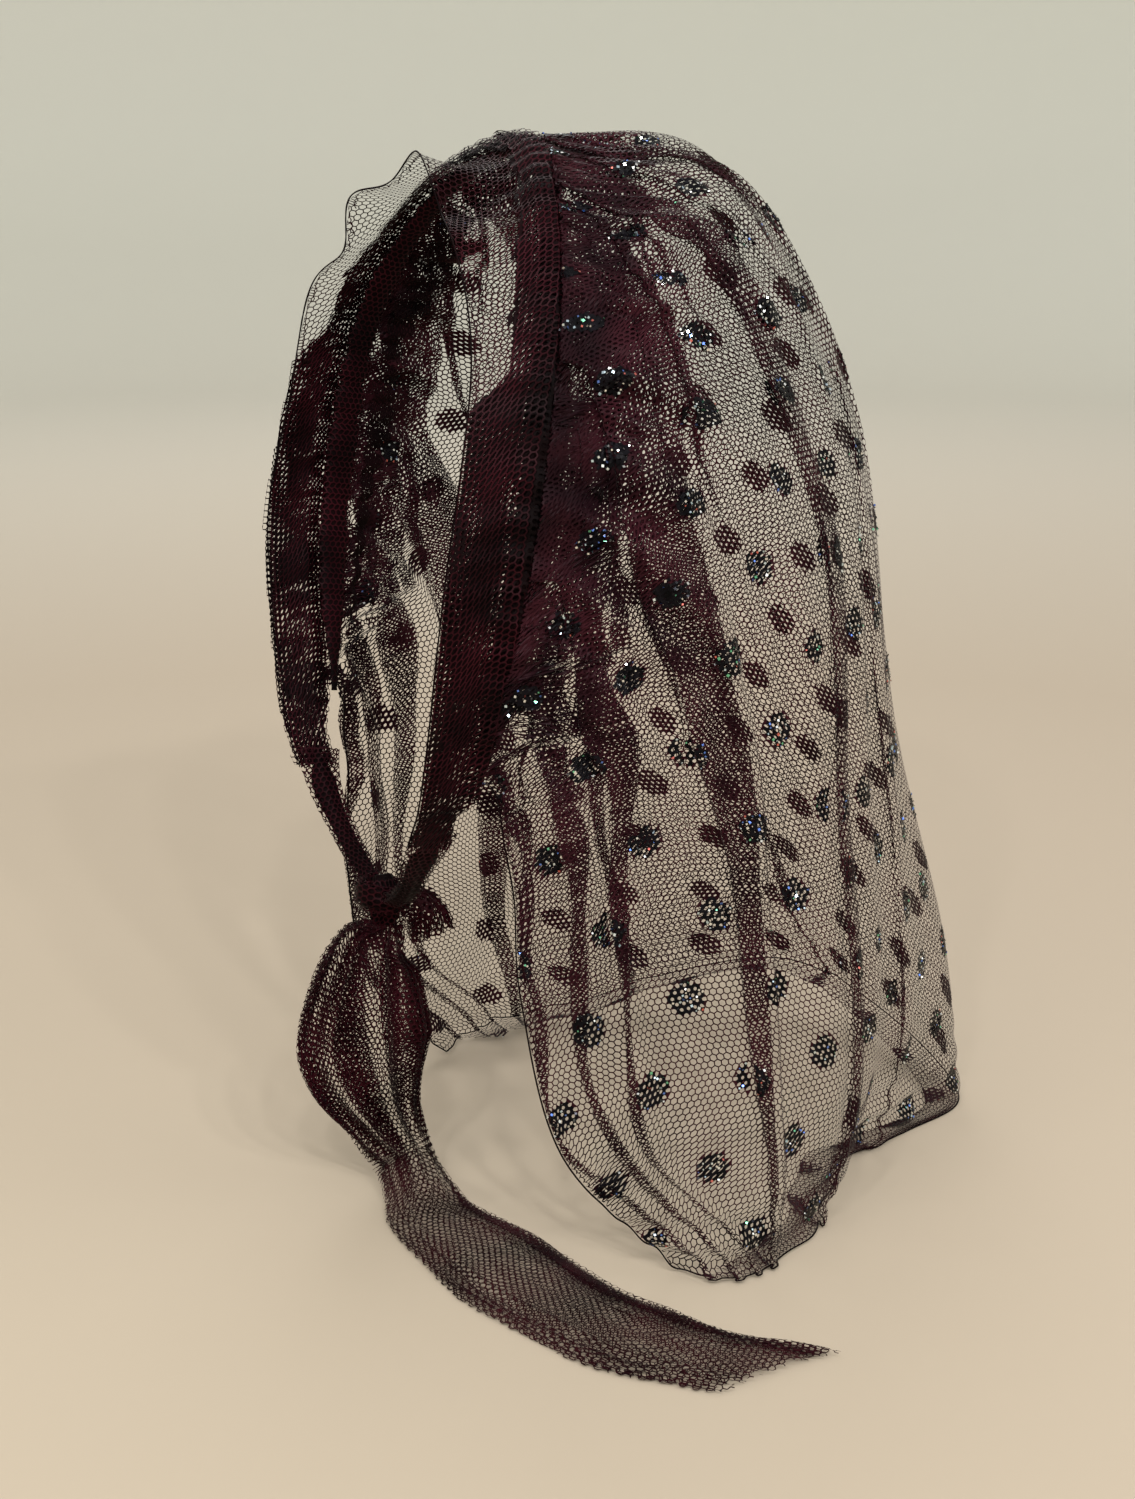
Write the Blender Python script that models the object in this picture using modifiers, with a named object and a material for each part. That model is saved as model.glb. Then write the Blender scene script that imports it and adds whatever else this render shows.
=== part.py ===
"""Hair snood of soft net: a pleated hood gathered to a plain band, which is tied under the chin.

Run with blender --background --python part.py. Metres, +Z up. The wearer looks along -Y, and +X is the
wearer's left. The origin is the crown of the head, where the seam passes over it.
"""

import math

import bmesh
import bpy
import numpy as np

# Driving dimensions
MM = 0.001
CROWN_TO_FLOOR = 0.318  # the hem and the long tail lie this far below the crown
WALL = 1.2 * MM  # the soft net with its air, kept as a thin wall
TAIL_WALL = 1.4 * MM
SEAT_GAP = 0.3 * MM  # between one piece and the next
SEAM_GAP = 0.8 * MM  # from the seam to the middle of a wall, which leans as it leaves the seam
FLOOR = -CROWN_TO_FLOOR + WALL / 2  # the mid surface of cloth that lies on the floor
HEAD_HALF = np.array((78, 100, 105)) * MM  # the head that the snood is sized for
HEAD_CENTRE = np.array((0, 0, -105)) * MM

# The gathered seam, jaw to crown: x, y, z of its middle, its half width and half thickness, in mm
SEAM = (
    (62, -43, -168, 4.0, 2.4),
    (77, -36, -112, 7.0, 3.2),
    (73, -25, -50, 6.0, 3.0),
    (42, -11, -9, 4.5, 2.6),
    (0, 0, 6, 4.0, 2.4),
)
# The bag below the seam, a row for each section: five points from its free front edge to the
# crease down its back, as x, y, z in mm. The first row is the seam itself.
BAG_SECTIONS = (
    ("over", (66, -38, -184), (84, -14, -126), (85, 10, -62), (54, 44, -17), (0, 60, 0)),
    ("back", (69, -36, -202), (89, 6, -150), (90, 40, -106), (54, 82, -80), (2, 109, -83)),
    ("drop", (74, -36, -232), (92, 16, -205), (91, 50, -190), (60, 91, -180), (5, 129, -182)),
    ("low", (82, -26, -280), (100, 20, -272), (96, 54, -268), (62, 98, -262), (10, 150, -256)),
    ("foot", (93, 6, -317), (103, 24, -317), (92, 50, -317), (50, 94, -317), (18, 157, -317)),
)
HEM_TUCK = (10, 16, 20, 16, 0)  # mm that the hem turns in under itself, at each point of the foot
# The right side hangs further back and its hem is a little off the floor: x, y, z in mm that its
# fourth point moves by in the last three sections, and the share of that for all five points
RIGHT_FLARE = (("drop", (-4, 8, 0)), ("low", (-14, 26, 4)), ("foot", (-30, 54, 18)))
FLARE_SHARE = (0, 0.1, 0.35, 1, 0)

# The long pleats of one side: where each edge lies, as a share of the way from the front edge to the
# back crease, and how far it stands proud in mm, at the seam and the five sections below it
PLEATS = (
    (  # front roll
        (0.035, 0.035, 0.03, 0.03, 0.03, 0.04),
        (0.055, 0.05, 0.045, 0.045, 0.045, 0.06),
        (1, 2, 3, 3, 3, 1),
    ),
    (  # cheek
        (0.16, 0.12, 0.095, 0.085, 0.09, 0.13),
        (0.19, 0.15, 0.12, 0.11, 0.11, 0.15),
        (1, 3, 5, 4, 4, 1),
    ),
    (  # ear
        (0.33, 0.22, 0.17, 0.155, 0.155, 0.22),
        (0.37, 0.26, 0.205, 0.18, 0.18, 0.25),
        (1, 3, 5, 4, 3, 1),
    ),
    (  # the wide one
        (0.54, 0.38, 0.27, 0.275, 0.285, 0.32),
        (0.62, 0.52, 0.39, 0.37, 0.34, 0.36),
        (1, 4, 6, 6, 5, 1),
    ),
    (  # nape
        (0.78, 0.67, 0.54, 0.545, 0.555, 0.55),
        (0.81, 0.70, 0.575, 0.58, 0.59, 0.58),
        (1, 3, 5, 5, 5, 1),
    ),
    (  # back
        (0.90, 0.82, 0.74, 0.76, 0.78, 0.78),
        (0.92, 0.84, 0.76, 0.78, 0.80, 0.80),
        (1, 2, 2, 2, 2, 1),
    ),
)
PLEAT_SLOPE = 0.016  # share of the side over which a pleat rises
PLAIN_STEP = 0.045  # most share of the side between two columns where it is plain
BAG_ROWS = 22
BAG_BACK = np.array((0, 0.04, 0))  # the point on the floor that the hem turns in towards
ROW_CROWDING = 1.25  # above 1, the rows lie closer together near the seam, where the pleats start

# The band, jaw to crown: the free edge and, where the seam has ended, the back edge, in mm
BAND_FREE_EDGE = (
    (49, -60, -188),
    (63, -61, -168),
    (76, -59, -112),
    (69, -47, -48),
    (36, -41, -13),
    (0, -38, 5),
)
STRAP_BACK_EDGE = (48, -47, -190)
BAND_DIP = (0.5, 1, 1, 0.5, -2, -4)  # mm that the middle of the band stands proud of its edges
RUFFLE = 2.2 * MM
RUFFLE_WAVES = 9
RUFFLE_REACH = 2.5  # places on each side of the crown that the ruffle dies out over
BAND_COLUMNS = 64
BAND_ROWS = 5

SEAM_RINGS = 73
SEAM_SIDES = 8
SEAM_GATHER = 0.12  # share of the seam's thickness that every second ring is drawn in by

# The knot, the straps to it and the two free ends
KNOT = np.array((0, -50, -219.5)) * MM
KNOT_HALF = np.array((8.5, 7.5, 6.5)) * MM
STRAP_HALF_WIDTH = 4.2 * MM  # at the knot, from the width of the band's end
STRAP_HALF_THICKNESS = 2.0 * MM
STRAP_INTO_KNOT = np.array((-1.0, 0.0, -0.25))  # the way that the left strap goes into the knot
STRAP_RINGS = 10
STRAP_SIDES = 10
KNOT_LOBES = 6
KNOT_LOBE_HEIGHT = 0.07  # share of the knot's half height
# The long tail, knot to cut end: x, y, z of its middle, half width, depth of its curl in mm, and the
# half angle in degrees that its section curls through
LONG_TAIL = (
    (0, -51, -226.6, 4, 3, 120),
    (0, -51.6, -230, 7, 4.5, 120),
    (-1, -56, -240, 15, 9, 125),
    (-2, -58, -262, 21, 13, 130),
    (-2, -57, -276, 19, 12, 125),
    (-1, -52, -294, 12, 8, 110),
    (3, -46, -308, 10, 6, 80),
    (16, -45.5, -315, 12, 4, 60),
    (32, -47, -317, 15, 2, 40),
    (58, -42, -317, 19, 2, 35),
    (80, -38.5, -317, 20, 2, 35),
    (104, -32, -317, 18.5, 2.5, 35),
    (124, -23, -317, 19, 2, 35),
    (141, -10, -317, 16, 2, 40),
    (156, 4, -317, 17, 2, 35),
)
# The short tail, in the same columns
SHORT_TAIL = (
    (2, -42.6, -220.8, 3.5, 2.5, 130),
    (2, -38.5, -225, 6, 4, 130),
    (3, -36, -230, 7, 4, 125),
    (3, -34.5, -236, 6, 3, 120),
)
TAIL_RIDGE = 1.0 * MM  # lengthwise gathers of a tail
CUT_SLANT = 13 * MM  # how far each corner of the long tail's cut end lies from a square cut
CUT_ROWS = (0.3, 0.65, 1)  # share of the slant in the last rows
LONG_TAIL_GRID = (34, 14)  # rows and columns
SHORT_TAIL_GRID = (8, 9)

BURGUNDY = (0.055, 0.008, 0.016, 1.0)
BURGUNDY_DARK = (0.022, 0.004, 0.008, 1.0)
PLUM_DOTTED = (0.045, 0.014, 0.022, 1.0)


def clear_scene():
    for obj in list(bpy.data.objects):
        bpy.data.objects.remove(obj, do_unlink=True)


def spline(points, places):
    """A smooth curve through evenly numbered points, read at fractional places along their first axis."""
    points = np.asarray(points, float)
    places = np.asarray(places, float)
    ends = 2 * points[0] - points[1], 2 * points[-1] - points[-2]
    padded = np.concatenate([ends[:1], points, ends[1:]])
    start = np.clip(np.floor(places).astype(int), 0, len(points) - 2)
    share = (places - start).reshape(places.shape + (1,) * (points.ndim - 1))
    a, b, c, d = (padded[start + k] for k in range(4))
    bend = (2 * a - 5 * b + 4 * c - d) * share**2 + (3 * b - a - 3 * c + d) * share**3
    return 0.5 * (2 * b + (c - a) * share + bend)


def unit(vectors):
    return vectors / np.linalg.norm(vectors, axis=-1, keepdims=True)


def mirrored(near):
    """Points from one edge to the middle, carried on to the other side of the head."""
    return np.concatenate([near, near[-2::-1] * (-1, 1, 1)])


def head_normal(points):
    return unit((points - HEAD_CENTRE) / HEAD_HALF**2)


def seam_frame(places):
    """At places 0 (near jaw) to 8 (far jaw): the seam's middle, the way back across it, normal and halves."""
    table = np.array(SEAM)
    line = mirrored(table[:, :3] * MM)
    halves = np.concatenate([table[:, 3:], table[-2::-1, 3:]]) * MM
    middle = spline(line, places)
    along = unit(spline(line, np.asarray(places) + 0.01) - spline(line, np.asarray(places) - 0.01))
    normal = head_normal(middle)
    across = unit(np.cross(along, normal))
    return middle, across, unit(np.cross(across, along)), spline(halves, places)


def new_object(name, mesh, colour, roughness=0.75):
    material = bpy.data.materials.new(name + "_net")
    material.use_nodes = True
    shader = material.node_tree.nodes["Principled BSDF"]
    shader.inputs["Base Color"].default_value = colour
    shader.inputs["Roughness"].default_value = roughness
    mesh.materials.append(material)
    mesh.shade_smooth()
    obj = bpy.data.objects.new(name, mesh)
    bpy.data.collections["hair_snood"].objects.link(obj)
    return obj


def cloth(name, grid, wall, colour):
    """An open sheet through a grid of points, made solid to the wall's thickness."""
    rows, columns = grid.shape[:2]
    mesh = bpy.data.meshes.new(name)
    number = np.arange(rows * columns).reshape(rows, columns)
    quads = np.stack([number[:-1, :-1], number[:-1, 1:], number[1:, 1:], number[1:, :-1]], axis=-1)
    mesh.from_pydata(grid.reshape(-1, 3).tolist(), [], quads.reshape(-1, 4).tolist())
    obj = new_object(name, mesh, colour)
    solid = obj.modifiers.new("wall", "SOLIDIFY")
    solid.thickness = wall
    solid.offset = 0.0
    return obj


def rope(name, rings, colour):
    """A closed solid through rings of points, capped at both ends."""
    sides = rings.shape[1]
    mesh = bpy.data.meshes.new(name)
    shape = bmesh.new()
    verts = [[shape.verts.new(point) for point in ring] for ring in rings.tolist()]
    for ring, following in zip(verts, verts[1:]):
        for k in range(sides):
            after = (k + 1) % sides
            shape.faces.new((ring[k], ring[after], following[after], following[k]))
    shape.faces.new(verts[0])
    shape.faces.new(verts[-1])
    bmesh.ops.recalc_face_normals(shape, faces=shape.faces)
    shape.to_mesh(mesh)
    shape.free()
    return new_object(name, mesh, colour)


def bag_base(places, levels):
    """The bag without its pleats: places 0 (near front edge) to 8 (far one), levels 0 (seam) to 5 (foot)."""
    middle, across, _, halves = seam_frame(np.arange(9))
    seam = middle + across * (halves[:, :1] + SEAM_GAP)
    near = np.array([row[1:] for row in BAG_SECTIONS]) * MM
    hanging = np.stack([mirrored(section) for section in near])
    flare = np.array([row[1] for row in RIGHT_FLARE]) * MM
    share = np.array(FLARE_SHARE)[-2::-1, None]
    hanging[-len(flare) :, 5:] += flare[:, None] * share
    sections = np.concatenate([seam[None], hanging])
    rows = spline(sections, levels)
    return np.stack([spline(row, place) for row, place in zip(rows, places)])


def pleat_columns(levels):
    """For each level, where the columns of one side lie, as shares of it, and how proud each stands in mm."""
    places, lifts = [np.zeros_like(levels)], [np.zeros_like(levels)]
    last = np.zeros_like(levels)

    def plain_run(end):
        count = math.ceil(float((end - last).mean()) / PLAIN_STEP)
        for k in range(1, count):
            places.append(last + (end - last) * k / count)
            lifts.append(np.zeros_like(levels))

    for pleat in PLEATS:
        front, rear, proud = (spline(values, levels) for values in pleat)
        plain_run(front - PLEAT_SLOPE)
        places += [front - PLEAT_SLOPE, front, rear, rear + PLEAT_SLOPE]
        lifts += [0 * proud, proud, proud, 0 * proud]
        last = rear + PLEAT_SLOPE
    plain_run(np.ones_like(levels))
    places.append(np.ones_like(levels))
    lifts.append(np.zeros_like(levels))
    return np.stack(places, axis=1), np.stack(lifts, axis=1)


def bag_grid():
    levels = len(BAG_SECTIONS) * np.linspace(0, 1, BAG_ROWS) ** ROW_CROWDING
    places, lifts = pleat_columns(levels)
    places = np.concatenate([places, 2 - places[:, -2::-1]], axis=1) * 4
    lifts = np.concatenate([lifts, lifts[:, -2::-1]], axis=1) * MM
    base = bag_base(places, levels)
    normal = unit(np.cross(np.gradient(base, axis=1), np.gradient(base, axis=0)))
    lifts[0] *= 0
    grid = base + normal * lifts[..., None]
    return np.concatenate([grid, hem_rows(grid, places[-1])])


def hem_rows(grid, places):
    """The hem turned in under the bag, flat on the floor."""
    tuck = spline(np.array(HEM_TUCK + HEM_TUCK[-2::-1]), places)[:, None] * MM
    foot = grid[-1]
    inward = unit((BAG_BACK - foot) * (1, 1, 0))
    return np.stack([foot + inward * tuck * share for share in (0.5, 1.0)])


def bag():
    grid = bag_grid()
    grid[..., 2] = np.maximum(grid[..., 2], FLOOR)
    return cloth("bag", grid, WALL, PLUM_DOTTED)


def gathered_seam():
    places = np.linspace(0, 8, SEAM_RINGS)
    middle, across, normal, halves = seam_frame(places)
    half_side = math.pi / SEAM_SIDES
    turns = np.linspace(0, 2 * math.pi, SEAM_SIDES, endpoint=False) + half_side
    gather = 1 - SEAM_GATHER * (np.arange(len(places)) % 2)
    wide = halves[:, 0] / math.cos(half_side)
    high = halves[:, 1] * gather
    rings = (
        middle[:, None]
        + across[:, None] * (np.cos(turns)[:, None] * wide[:, None, None])
        + normal[:, None] * (np.sin(turns)[:, None] * high[:, None, None])
    )
    return rope("gathered_seam", rings, BURGUNDY_DARK)


def band_edges(places):
    """The free edge and the seam edge of the band, at places 0 (near strap) to 10 (far strap)."""
    free = spline(mirrored(np.array(BAND_FREE_EDGE) * MM), places)
    middle, across, _, halves = seam_frame(np.arange(9))
    seam_side = middle - across * (halves[:, :1] + SEAM_GAP)
    strap = np.array(STRAP_BACK_EDGE) * MM
    line = np.concatenate([strap[None], seam_side, strap[None] * (-1, 1, 1)])
    return free, spline(line, places)


def front_band():
    places = np.linspace(0, 10, BAND_COLUMNS + 1)
    free, back = band_edges(places)
    dip = spline(np.array(BAND_DIP + BAND_DIP[-2::-1]), places) * MM
    crown = np.sqrt(np.clip(1 - np.abs(places - 5) / RUFFLE_REACH, 0, 1))
    wave = RUFFLE * crown * np.sin(places * RUFFLE_WAVES * 2 * math.pi / 10)
    share = np.linspace(0, 1, BAND_ROWS)[:, None, None]
    flat = free + (back - free) * share
    normal = head_normal(flat)
    lift = dip[:, None] * 4 * share * (1 - share) + wave[:, None] * (1 - share) ** 2
    return cloth("front_band", flat + normal * lift, WALL, BURGUNDY)


def strap(name, side):
    """One end of the band, gathered into a flat rope, from the jaw to the knot. side is 1 or -1."""
    free, back = band_edges(np.array([0.0, 0.2]))
    start = (free[0] + back[0]) / 2
    wide = unit(back[0] - free[0])
    out = start - (free[1] + back[1]) / 2
    out = unit(out - wide * (out @ wide))
    start = start + out * SEAM_GAP
    end = KNOT + np.array((KNOT_HALF[0] + SEAT_GAP, 0, 1.0 * MM))
    reach = np.linalg.norm(end - start) / 3
    handles = start, start + out * reach, end - unit(STRAP_INTO_KNOT) * reach, end
    t = np.linspace(0, 1, STRAP_RINGS)[:, None]
    path = sum(math.comb(3, k) * (1 - t) ** (3 - k) * t**k * handle for k, handle in enumerate(handles))
    along = unit(np.gradient(path, axis=0))
    along[0] = out
    normal = unit(np.cross(along, wide))
    across = np.cross(normal, along)
    turns = np.linspace(0, 2 * math.pi, STRAP_SIDES, endpoint=False)
    band_half = np.linalg.norm(back[0] - free[0]) / 2
    half_width = STRAP_HALF_WIDTH + (band_half - STRAP_HALF_WIDTH) * (1 - t[:, :, None]) ** 2
    rings = (
        path[:, None]
        + across[:, None] * (np.cos(turns)[:, None] * half_width)
        + normal[:, None] * (np.sin(turns)[:, None] * STRAP_HALF_THICKNESS)
    )
    return rope(name, rings * (side, 1, 1), BURGUNDY)


def chin_knot():
    mesh = bpy.data.meshes.new("chin_knot")
    shape = bmesh.new()
    bmesh.ops.create_uvsphere(shape, u_segments=20, v_segments=12, radius=1.0)
    for vert in shape.verts:
        x, y, z = vert.co
        wrap = 1 - KNOT_LOBE_HEIGHT * math.cos(KNOT_LOBES * math.atan2(y, z)) * (1 - x * x)
        vert.co = KNOT + KNOT_HALF * np.array((x, y * wrap, z * wrap))
    shape.to_mesh(mesh)
    shape.free()
    return new_object("chin_knot", mesh, BURGUNDY_DARK)


def tail_grid(table, rows, columns):
    """A strip that hangs curled, opens out and lies down, from the rows of a table."""
    table = np.array(table, float)
    places = np.linspace(0, len(table) - 1, rows)
    values = spline(table, places)
    middle, half, depth = values[:, :3] * MM, values[:, 3:4] * MM, values[:, 4:5] * MM
    curl = np.radians(values[:, 5:6])
    along = unit(np.gradient(middle, axis=0))
    flat = np.stack([-along[:, 1], along[:, 0], 0 * along[:, 0]], axis=1)
    hanging = np.clip(-along[:, 2:3], 0, 1) ** 2
    wide = unit(flat * (1 - hanging) + np.array((0, 1, 0)) * hanging)
    wide = unit(wide - along * (wide * along).sum(axis=1, keepdims=True))
    outward = np.cross(along, wide)
    turn = np.linspace(-1, 1, columns)[None] * curl
    width = np.sin(turn) / np.sin(np.minimum(curl, math.pi / 2)) * half
    bulge = (np.cos(turn) - np.cos(curl)) / (1 - np.cos(curl)) * depth
    bulge = bulge + TAIL_RIDGE * (np.arange(columns) % 3 == 1)
    return middle[:, None] + wide[:, None] * width[..., None] + outward[:, None] * bulge[..., None]


def tails():
    long_strip = tail_grid(LONG_TAIL, *LONG_TAIL_GRID)
    ahead = unit(long_strip[-1] - long_strip[-2])
    slant = np.linspace(-1, 1, LONG_TAIL_GRID[1])[:, None] * CUT_SLANT
    long_strip[-len(CUT_ROWS) :] += ahead * slant * np.array(CUT_ROWS)[:, None, None]
    long_strip[..., 2] = np.maximum(long_strip[..., 2], -CROWN_TO_FLOOR + TAIL_WALL / 2)
    cloth("long_tail", long_strip, TAIL_WALL, BURGUNDY)
    cloth("short_tail", tail_grid(SHORT_TAIL, *SHORT_TAIL_GRID), WALL, BURGUNDY)


def main():
    clear_scene()
    bpy.context.scene.collection.children.link(bpy.data.collections.new("hair_snood"))
    bag()
    gathered_seam()
    front_band()
    strap("left_tie", 1)
    strap("right_tie", -1)
    chin_knot()
    tails()


main()
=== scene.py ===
# %% [markdown]
# # A hair snood of dotted net
# A snood like this is sewn from two nets. A dotted net makes the long hood, and a plain one makes
# the band along its front, the ties and their free ends. In this lesson every thread of both nets
# is real geometry. The frame, which is the plain construction of the same piece, is loaded first,
# and everything below is made around it in metres, with +Z up and the opening towards -Y.

# %% Load the frame
import math

import bpy
import numpy as np
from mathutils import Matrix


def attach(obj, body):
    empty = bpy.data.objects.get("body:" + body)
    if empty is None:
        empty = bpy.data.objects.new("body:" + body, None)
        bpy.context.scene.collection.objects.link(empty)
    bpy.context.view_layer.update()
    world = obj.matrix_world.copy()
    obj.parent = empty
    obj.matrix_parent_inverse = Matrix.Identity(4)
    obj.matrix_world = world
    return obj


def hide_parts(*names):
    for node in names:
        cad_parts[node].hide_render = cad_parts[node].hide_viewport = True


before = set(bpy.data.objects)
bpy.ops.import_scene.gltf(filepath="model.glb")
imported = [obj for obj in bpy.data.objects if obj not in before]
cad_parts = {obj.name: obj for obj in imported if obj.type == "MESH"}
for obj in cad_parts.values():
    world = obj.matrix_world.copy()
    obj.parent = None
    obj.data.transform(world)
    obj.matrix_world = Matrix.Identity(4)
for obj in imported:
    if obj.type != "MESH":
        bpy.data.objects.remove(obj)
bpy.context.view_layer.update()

MM = 0.001
FLOOR = -0.318  # the floor lies this far below the crown, which is the origin
print("frame nodes:", sorted(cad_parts))

# %% [markdown]
# ## The camera
# The snood is looked at from its left front, with the lens as high as the crown and tipped down.
# Setting the camera first means that each piece can be judged from there as soon as it is made.

# %% Camera
camera_data = bpy.data.cameras.new("camera")
camera_data.lens = 54.28
camera_data.clip_start = 0.01
camera = bpy.data.objects.new("camera", camera_data)
camera.location = (0.6314, -0.281, 0.007)
camera.rotation_euler = (math.radians(75), 0, math.radians(65))
bpy.context.scene.collection.objects.link(camera)
bpy.context.scene.camera = camera
print("camera lens:", camera_data.lens, "mm")

# %% [markdown]
# ## Small helpers
# Net is made of very many short threads, so the arithmetic is done on whole arrays of points at once
# with numpy. A Catmull-Rom spline passes through every point of a table, which makes it easy to say
# where a fold of cloth goes by listing a few places that it goes through.


# %% Splines through tables of points
def unit(vectors):
    return vectors / np.maximum(np.linalg.norm(vectors, axis=-1, keepdims=True), 1e-12)


def with_ends(points, axis):
    """A table with one more point before its first and after its last, straight on."""
    points = np.moveaxis(np.asarray(points, float), axis, 0)
    before, after = 2 * points[0] - points[1], 2 * points[-1] - points[-2]
    return np.moveaxis(np.concatenate([before[None], points, after[None]]), 0, axis)


def spline_weights(places, count):
    """The first of the four points that shape the curve at each place, and the four weights."""
    start = np.clip(np.floor(places).astype(int), 0, count - 2)
    t = places - start
    weights = 2 * t**2 - t - t**3, 2 - 5 * t**2 + 3 * t**3, t + 4 * t**2 - 3 * t**3, t**3 - t**2
    return start, np.stack(weights) / 2


def curve(table, places):
    """Points of a curve through a table, at fractional places along its first axis."""
    table, places = np.asarray(table, float), np.asarray(places, float)
    start, weights = spline_weights(places, len(table))
    full = with_ends(table, 0)
    weights = weights.reshape(weights.shape + (1,) * (table.ndim - 1))
    return sum(weights[i] * full[start + i] for i in range(4))


def surface(table, places, levels):
    """Points of a surface through a table [level, place], for each pair of place and level."""
    full = with_ends(with_ends(table, 0), 1)
    column, across = spline_weights(places, table.shape[1])
    row, down = spline_weights(levels, table.shape[0])
    return sum(
        (down[i] * across[j])[..., None] * full[row + i, column + j] for i in range(4) for j in range(4)
    )


def fade(x):
    """0 below 0, 1 above 1 and smooth between."""
    x = np.clip(x, 0, 1)
    return x * x * (3 - 2 * x)


def both_sides(near):
    """A row of points from the front to the middle, carried on to the other side."""
    near = np.asarray(near, float)
    return np.concatenate([near, near[-2::-1] * (-1, 1, 1)])


print("a curve through 0, 1, 4 at place 1.5:", float(curve([0.0, 1.0, 4.0], [1.5])[0]))

# %% [markdown]
# ## The shape that the cloth hangs in
# These tables are the same named values as the construction uses. The first is the gathered seam,
# from its lower end to the crown. The second is the bag below it in five sections, each with five
# points from the free front edge to the crease down the back. The other side is its mirror image,
# apart from one part that hangs further back.

# %% Tables of the form, in millimetres
SEAM = (  # x, y, z of the middle of the seam, its half width and its half thickness
    (62, -43, -168, 4.0, 2.4),
    (77, -36, -112, 7.0, 3.2),
    (73, -25, -50, 6.0, 3.0),
    (42, -11, -9, 4.5, 2.6),
    (0, 0, 6, 4.0, 2.4),
)
BAG_SECTIONS = (
    ((66, -38, -184), (84, -14, -126), (85, 10, -62), (54, 44, -17), (0, 60, 0)),
    ((69, -36, -202), (89, 6, -150), (90, 40, -106), (54, 82, -80), (2, 109, -83)),
    ((74, -36, -232), (92, 16, -205), (91, 50, -190), (60, 91, -180), (5, 129, -182)),
    ((82, -26, -280), (100, 20, -272), (96, 54, -268), (62, 98, -262), (10, 150, -256)),
    ((93, 6, -317), (103, 24, -317), (92, 50, -317), (50, 94, -317), (18, 157, -317)),
)
RIGHT_FLARE = ((-4, 8, 0), (-14, 26, 4), (-30, 54, 18))  # how the right side's lower sections differ
FLARE_SHARE = (0, 0.1, 0.35, 1, 0)
BAND_FREE_EDGE = (  # x, y, z from the strap to the crown
    (49, -60, -188), (63, -61, -168), (76, -59, -112), (69, -47, -48), (36, -41, -13), (0, -38, 5),
)
STRAP_BACK_EDGE = (48, -47, -190)
HEAD_HALF = np.array((78, 100, 105)) * MM
HEAD_CENTRE = np.array((0, 0, -105)) * MM
SEAM_GAP = 0.8 * MM


def head_normal(points):
    return unit((points - HEAD_CENTRE) / HEAD_HALF**2)


def seam_frame(places):
    """At places 0 (near end) to 8 (far end): the seam's middle, the way across it, its normal, its halves."""
    table = np.array(SEAM)
    line = both_sides(table[:, :3] * MM)
    halves = np.concatenate([table[:, 3:], table[-2::-1, 3:]]) * MM
    middle = curve(line, places)
    along = unit(curve(line, np.asarray(places) + 0.01) - curve(line, np.asarray(places) - 0.01))
    across = unit(np.cross(along, head_normal(middle)))
    return middle, across, unit(np.cross(across, along)), curve(halves, places)


# %% The bag as one smooth surface
def bag_table():
    """The points that the bag goes through, [level 0 (seam) to 5 (floor), place 0 to 8]."""
    middle, across, _, halves = seam_frame(np.arange(9))
    seam = middle + across * (halves[:, :1] + SEAM_GAP)
    hanging = np.stack([both_sides(np.array(row) * MM) for row in BAG_SECTIONS])
    share = np.array(FLARE_SHARE)[-2::-1, None]
    hanging[-3:, 5:] += np.array(RIGHT_FLARE)[:, None] * MM * share
    return np.concatenate([seam[None], hanging])


BAG = bag_table()
place_axis, level_axis = np.linspace(0, 8, 161), np.linspace(0, 5, 151)
FRONT, CREASE = 0, 80  # numbers of the near front edge and the back crease in place_axis
bag_mesh = surface(BAG, *np.meshgrid(place_axis, level_axis, indexing="ij"))
run_down = np.linalg.norm(np.diff(bag_mesh, axis=1), axis=-1).cumsum(axis=1)
run_down = np.concatenate([np.zeros((len(place_axis), 1)), run_down], axis=1)
height = run_down[:, -1:] - run_down  # how far up from the hem each point lies, measured on the cloth
long_back, long_front = (round(height[number, 0] / MM) for number in (CREASE, FRONT))
print("the bag is", long_back, "mm long at the back and", long_front, "mm in front")

# %% [markdown]
# ## Honeycomb net from rows of points
# Tulle is a honeycomb: each hole has six sides, and three threads meet at each corner. If a cloth is
# known as rows of points, a fixed step apart along each row, then the honeycomb follows by moving
# every second point a sixth of the way towards the row above and the others towards the row below.
# Each corner becomes a tiny triangle and each thread a narrow ribbon between two triangles. That is
# eight triangles a hole, and it needs no picture and no cut-outs.

# %% The honeycomb
PITCH = 2.06 * MM  # from one hole to the next
ROW_STEP = PITCH * math.sqrt(3) / 2
THREAD = 0.36 * MM


def net_corners(grid, width):
    """Three points round every corner of the honeycomb, [row, column, 3, xyz]."""
    rows, columns = grid.shape[:2]
    up = (np.indices((rows, columns)).sum(axis=0) % 2 == 0)[..., None]
    corner = grid + np.gradient(grid, axis=0) * np.where(up, 1, -1) / 6
    padded = with_ends(with_ends(corner, 0), 1)
    left, right = unit(padded[1:-1, :-2] - corner), unit(padded[1:-1, 2:] - corner)
    third = unit(np.where(up, padded[2:, 1:-1], padded[:-2, 1:-1]) - corner)
    reach = (width / math.sqrt(3))[..., None]
    around = [unit(a + b) * reach for a, b in ((left, right), (right, third), (third, left))]
    return corner[:, :, None] + np.stack(around, axis=2)


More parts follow.
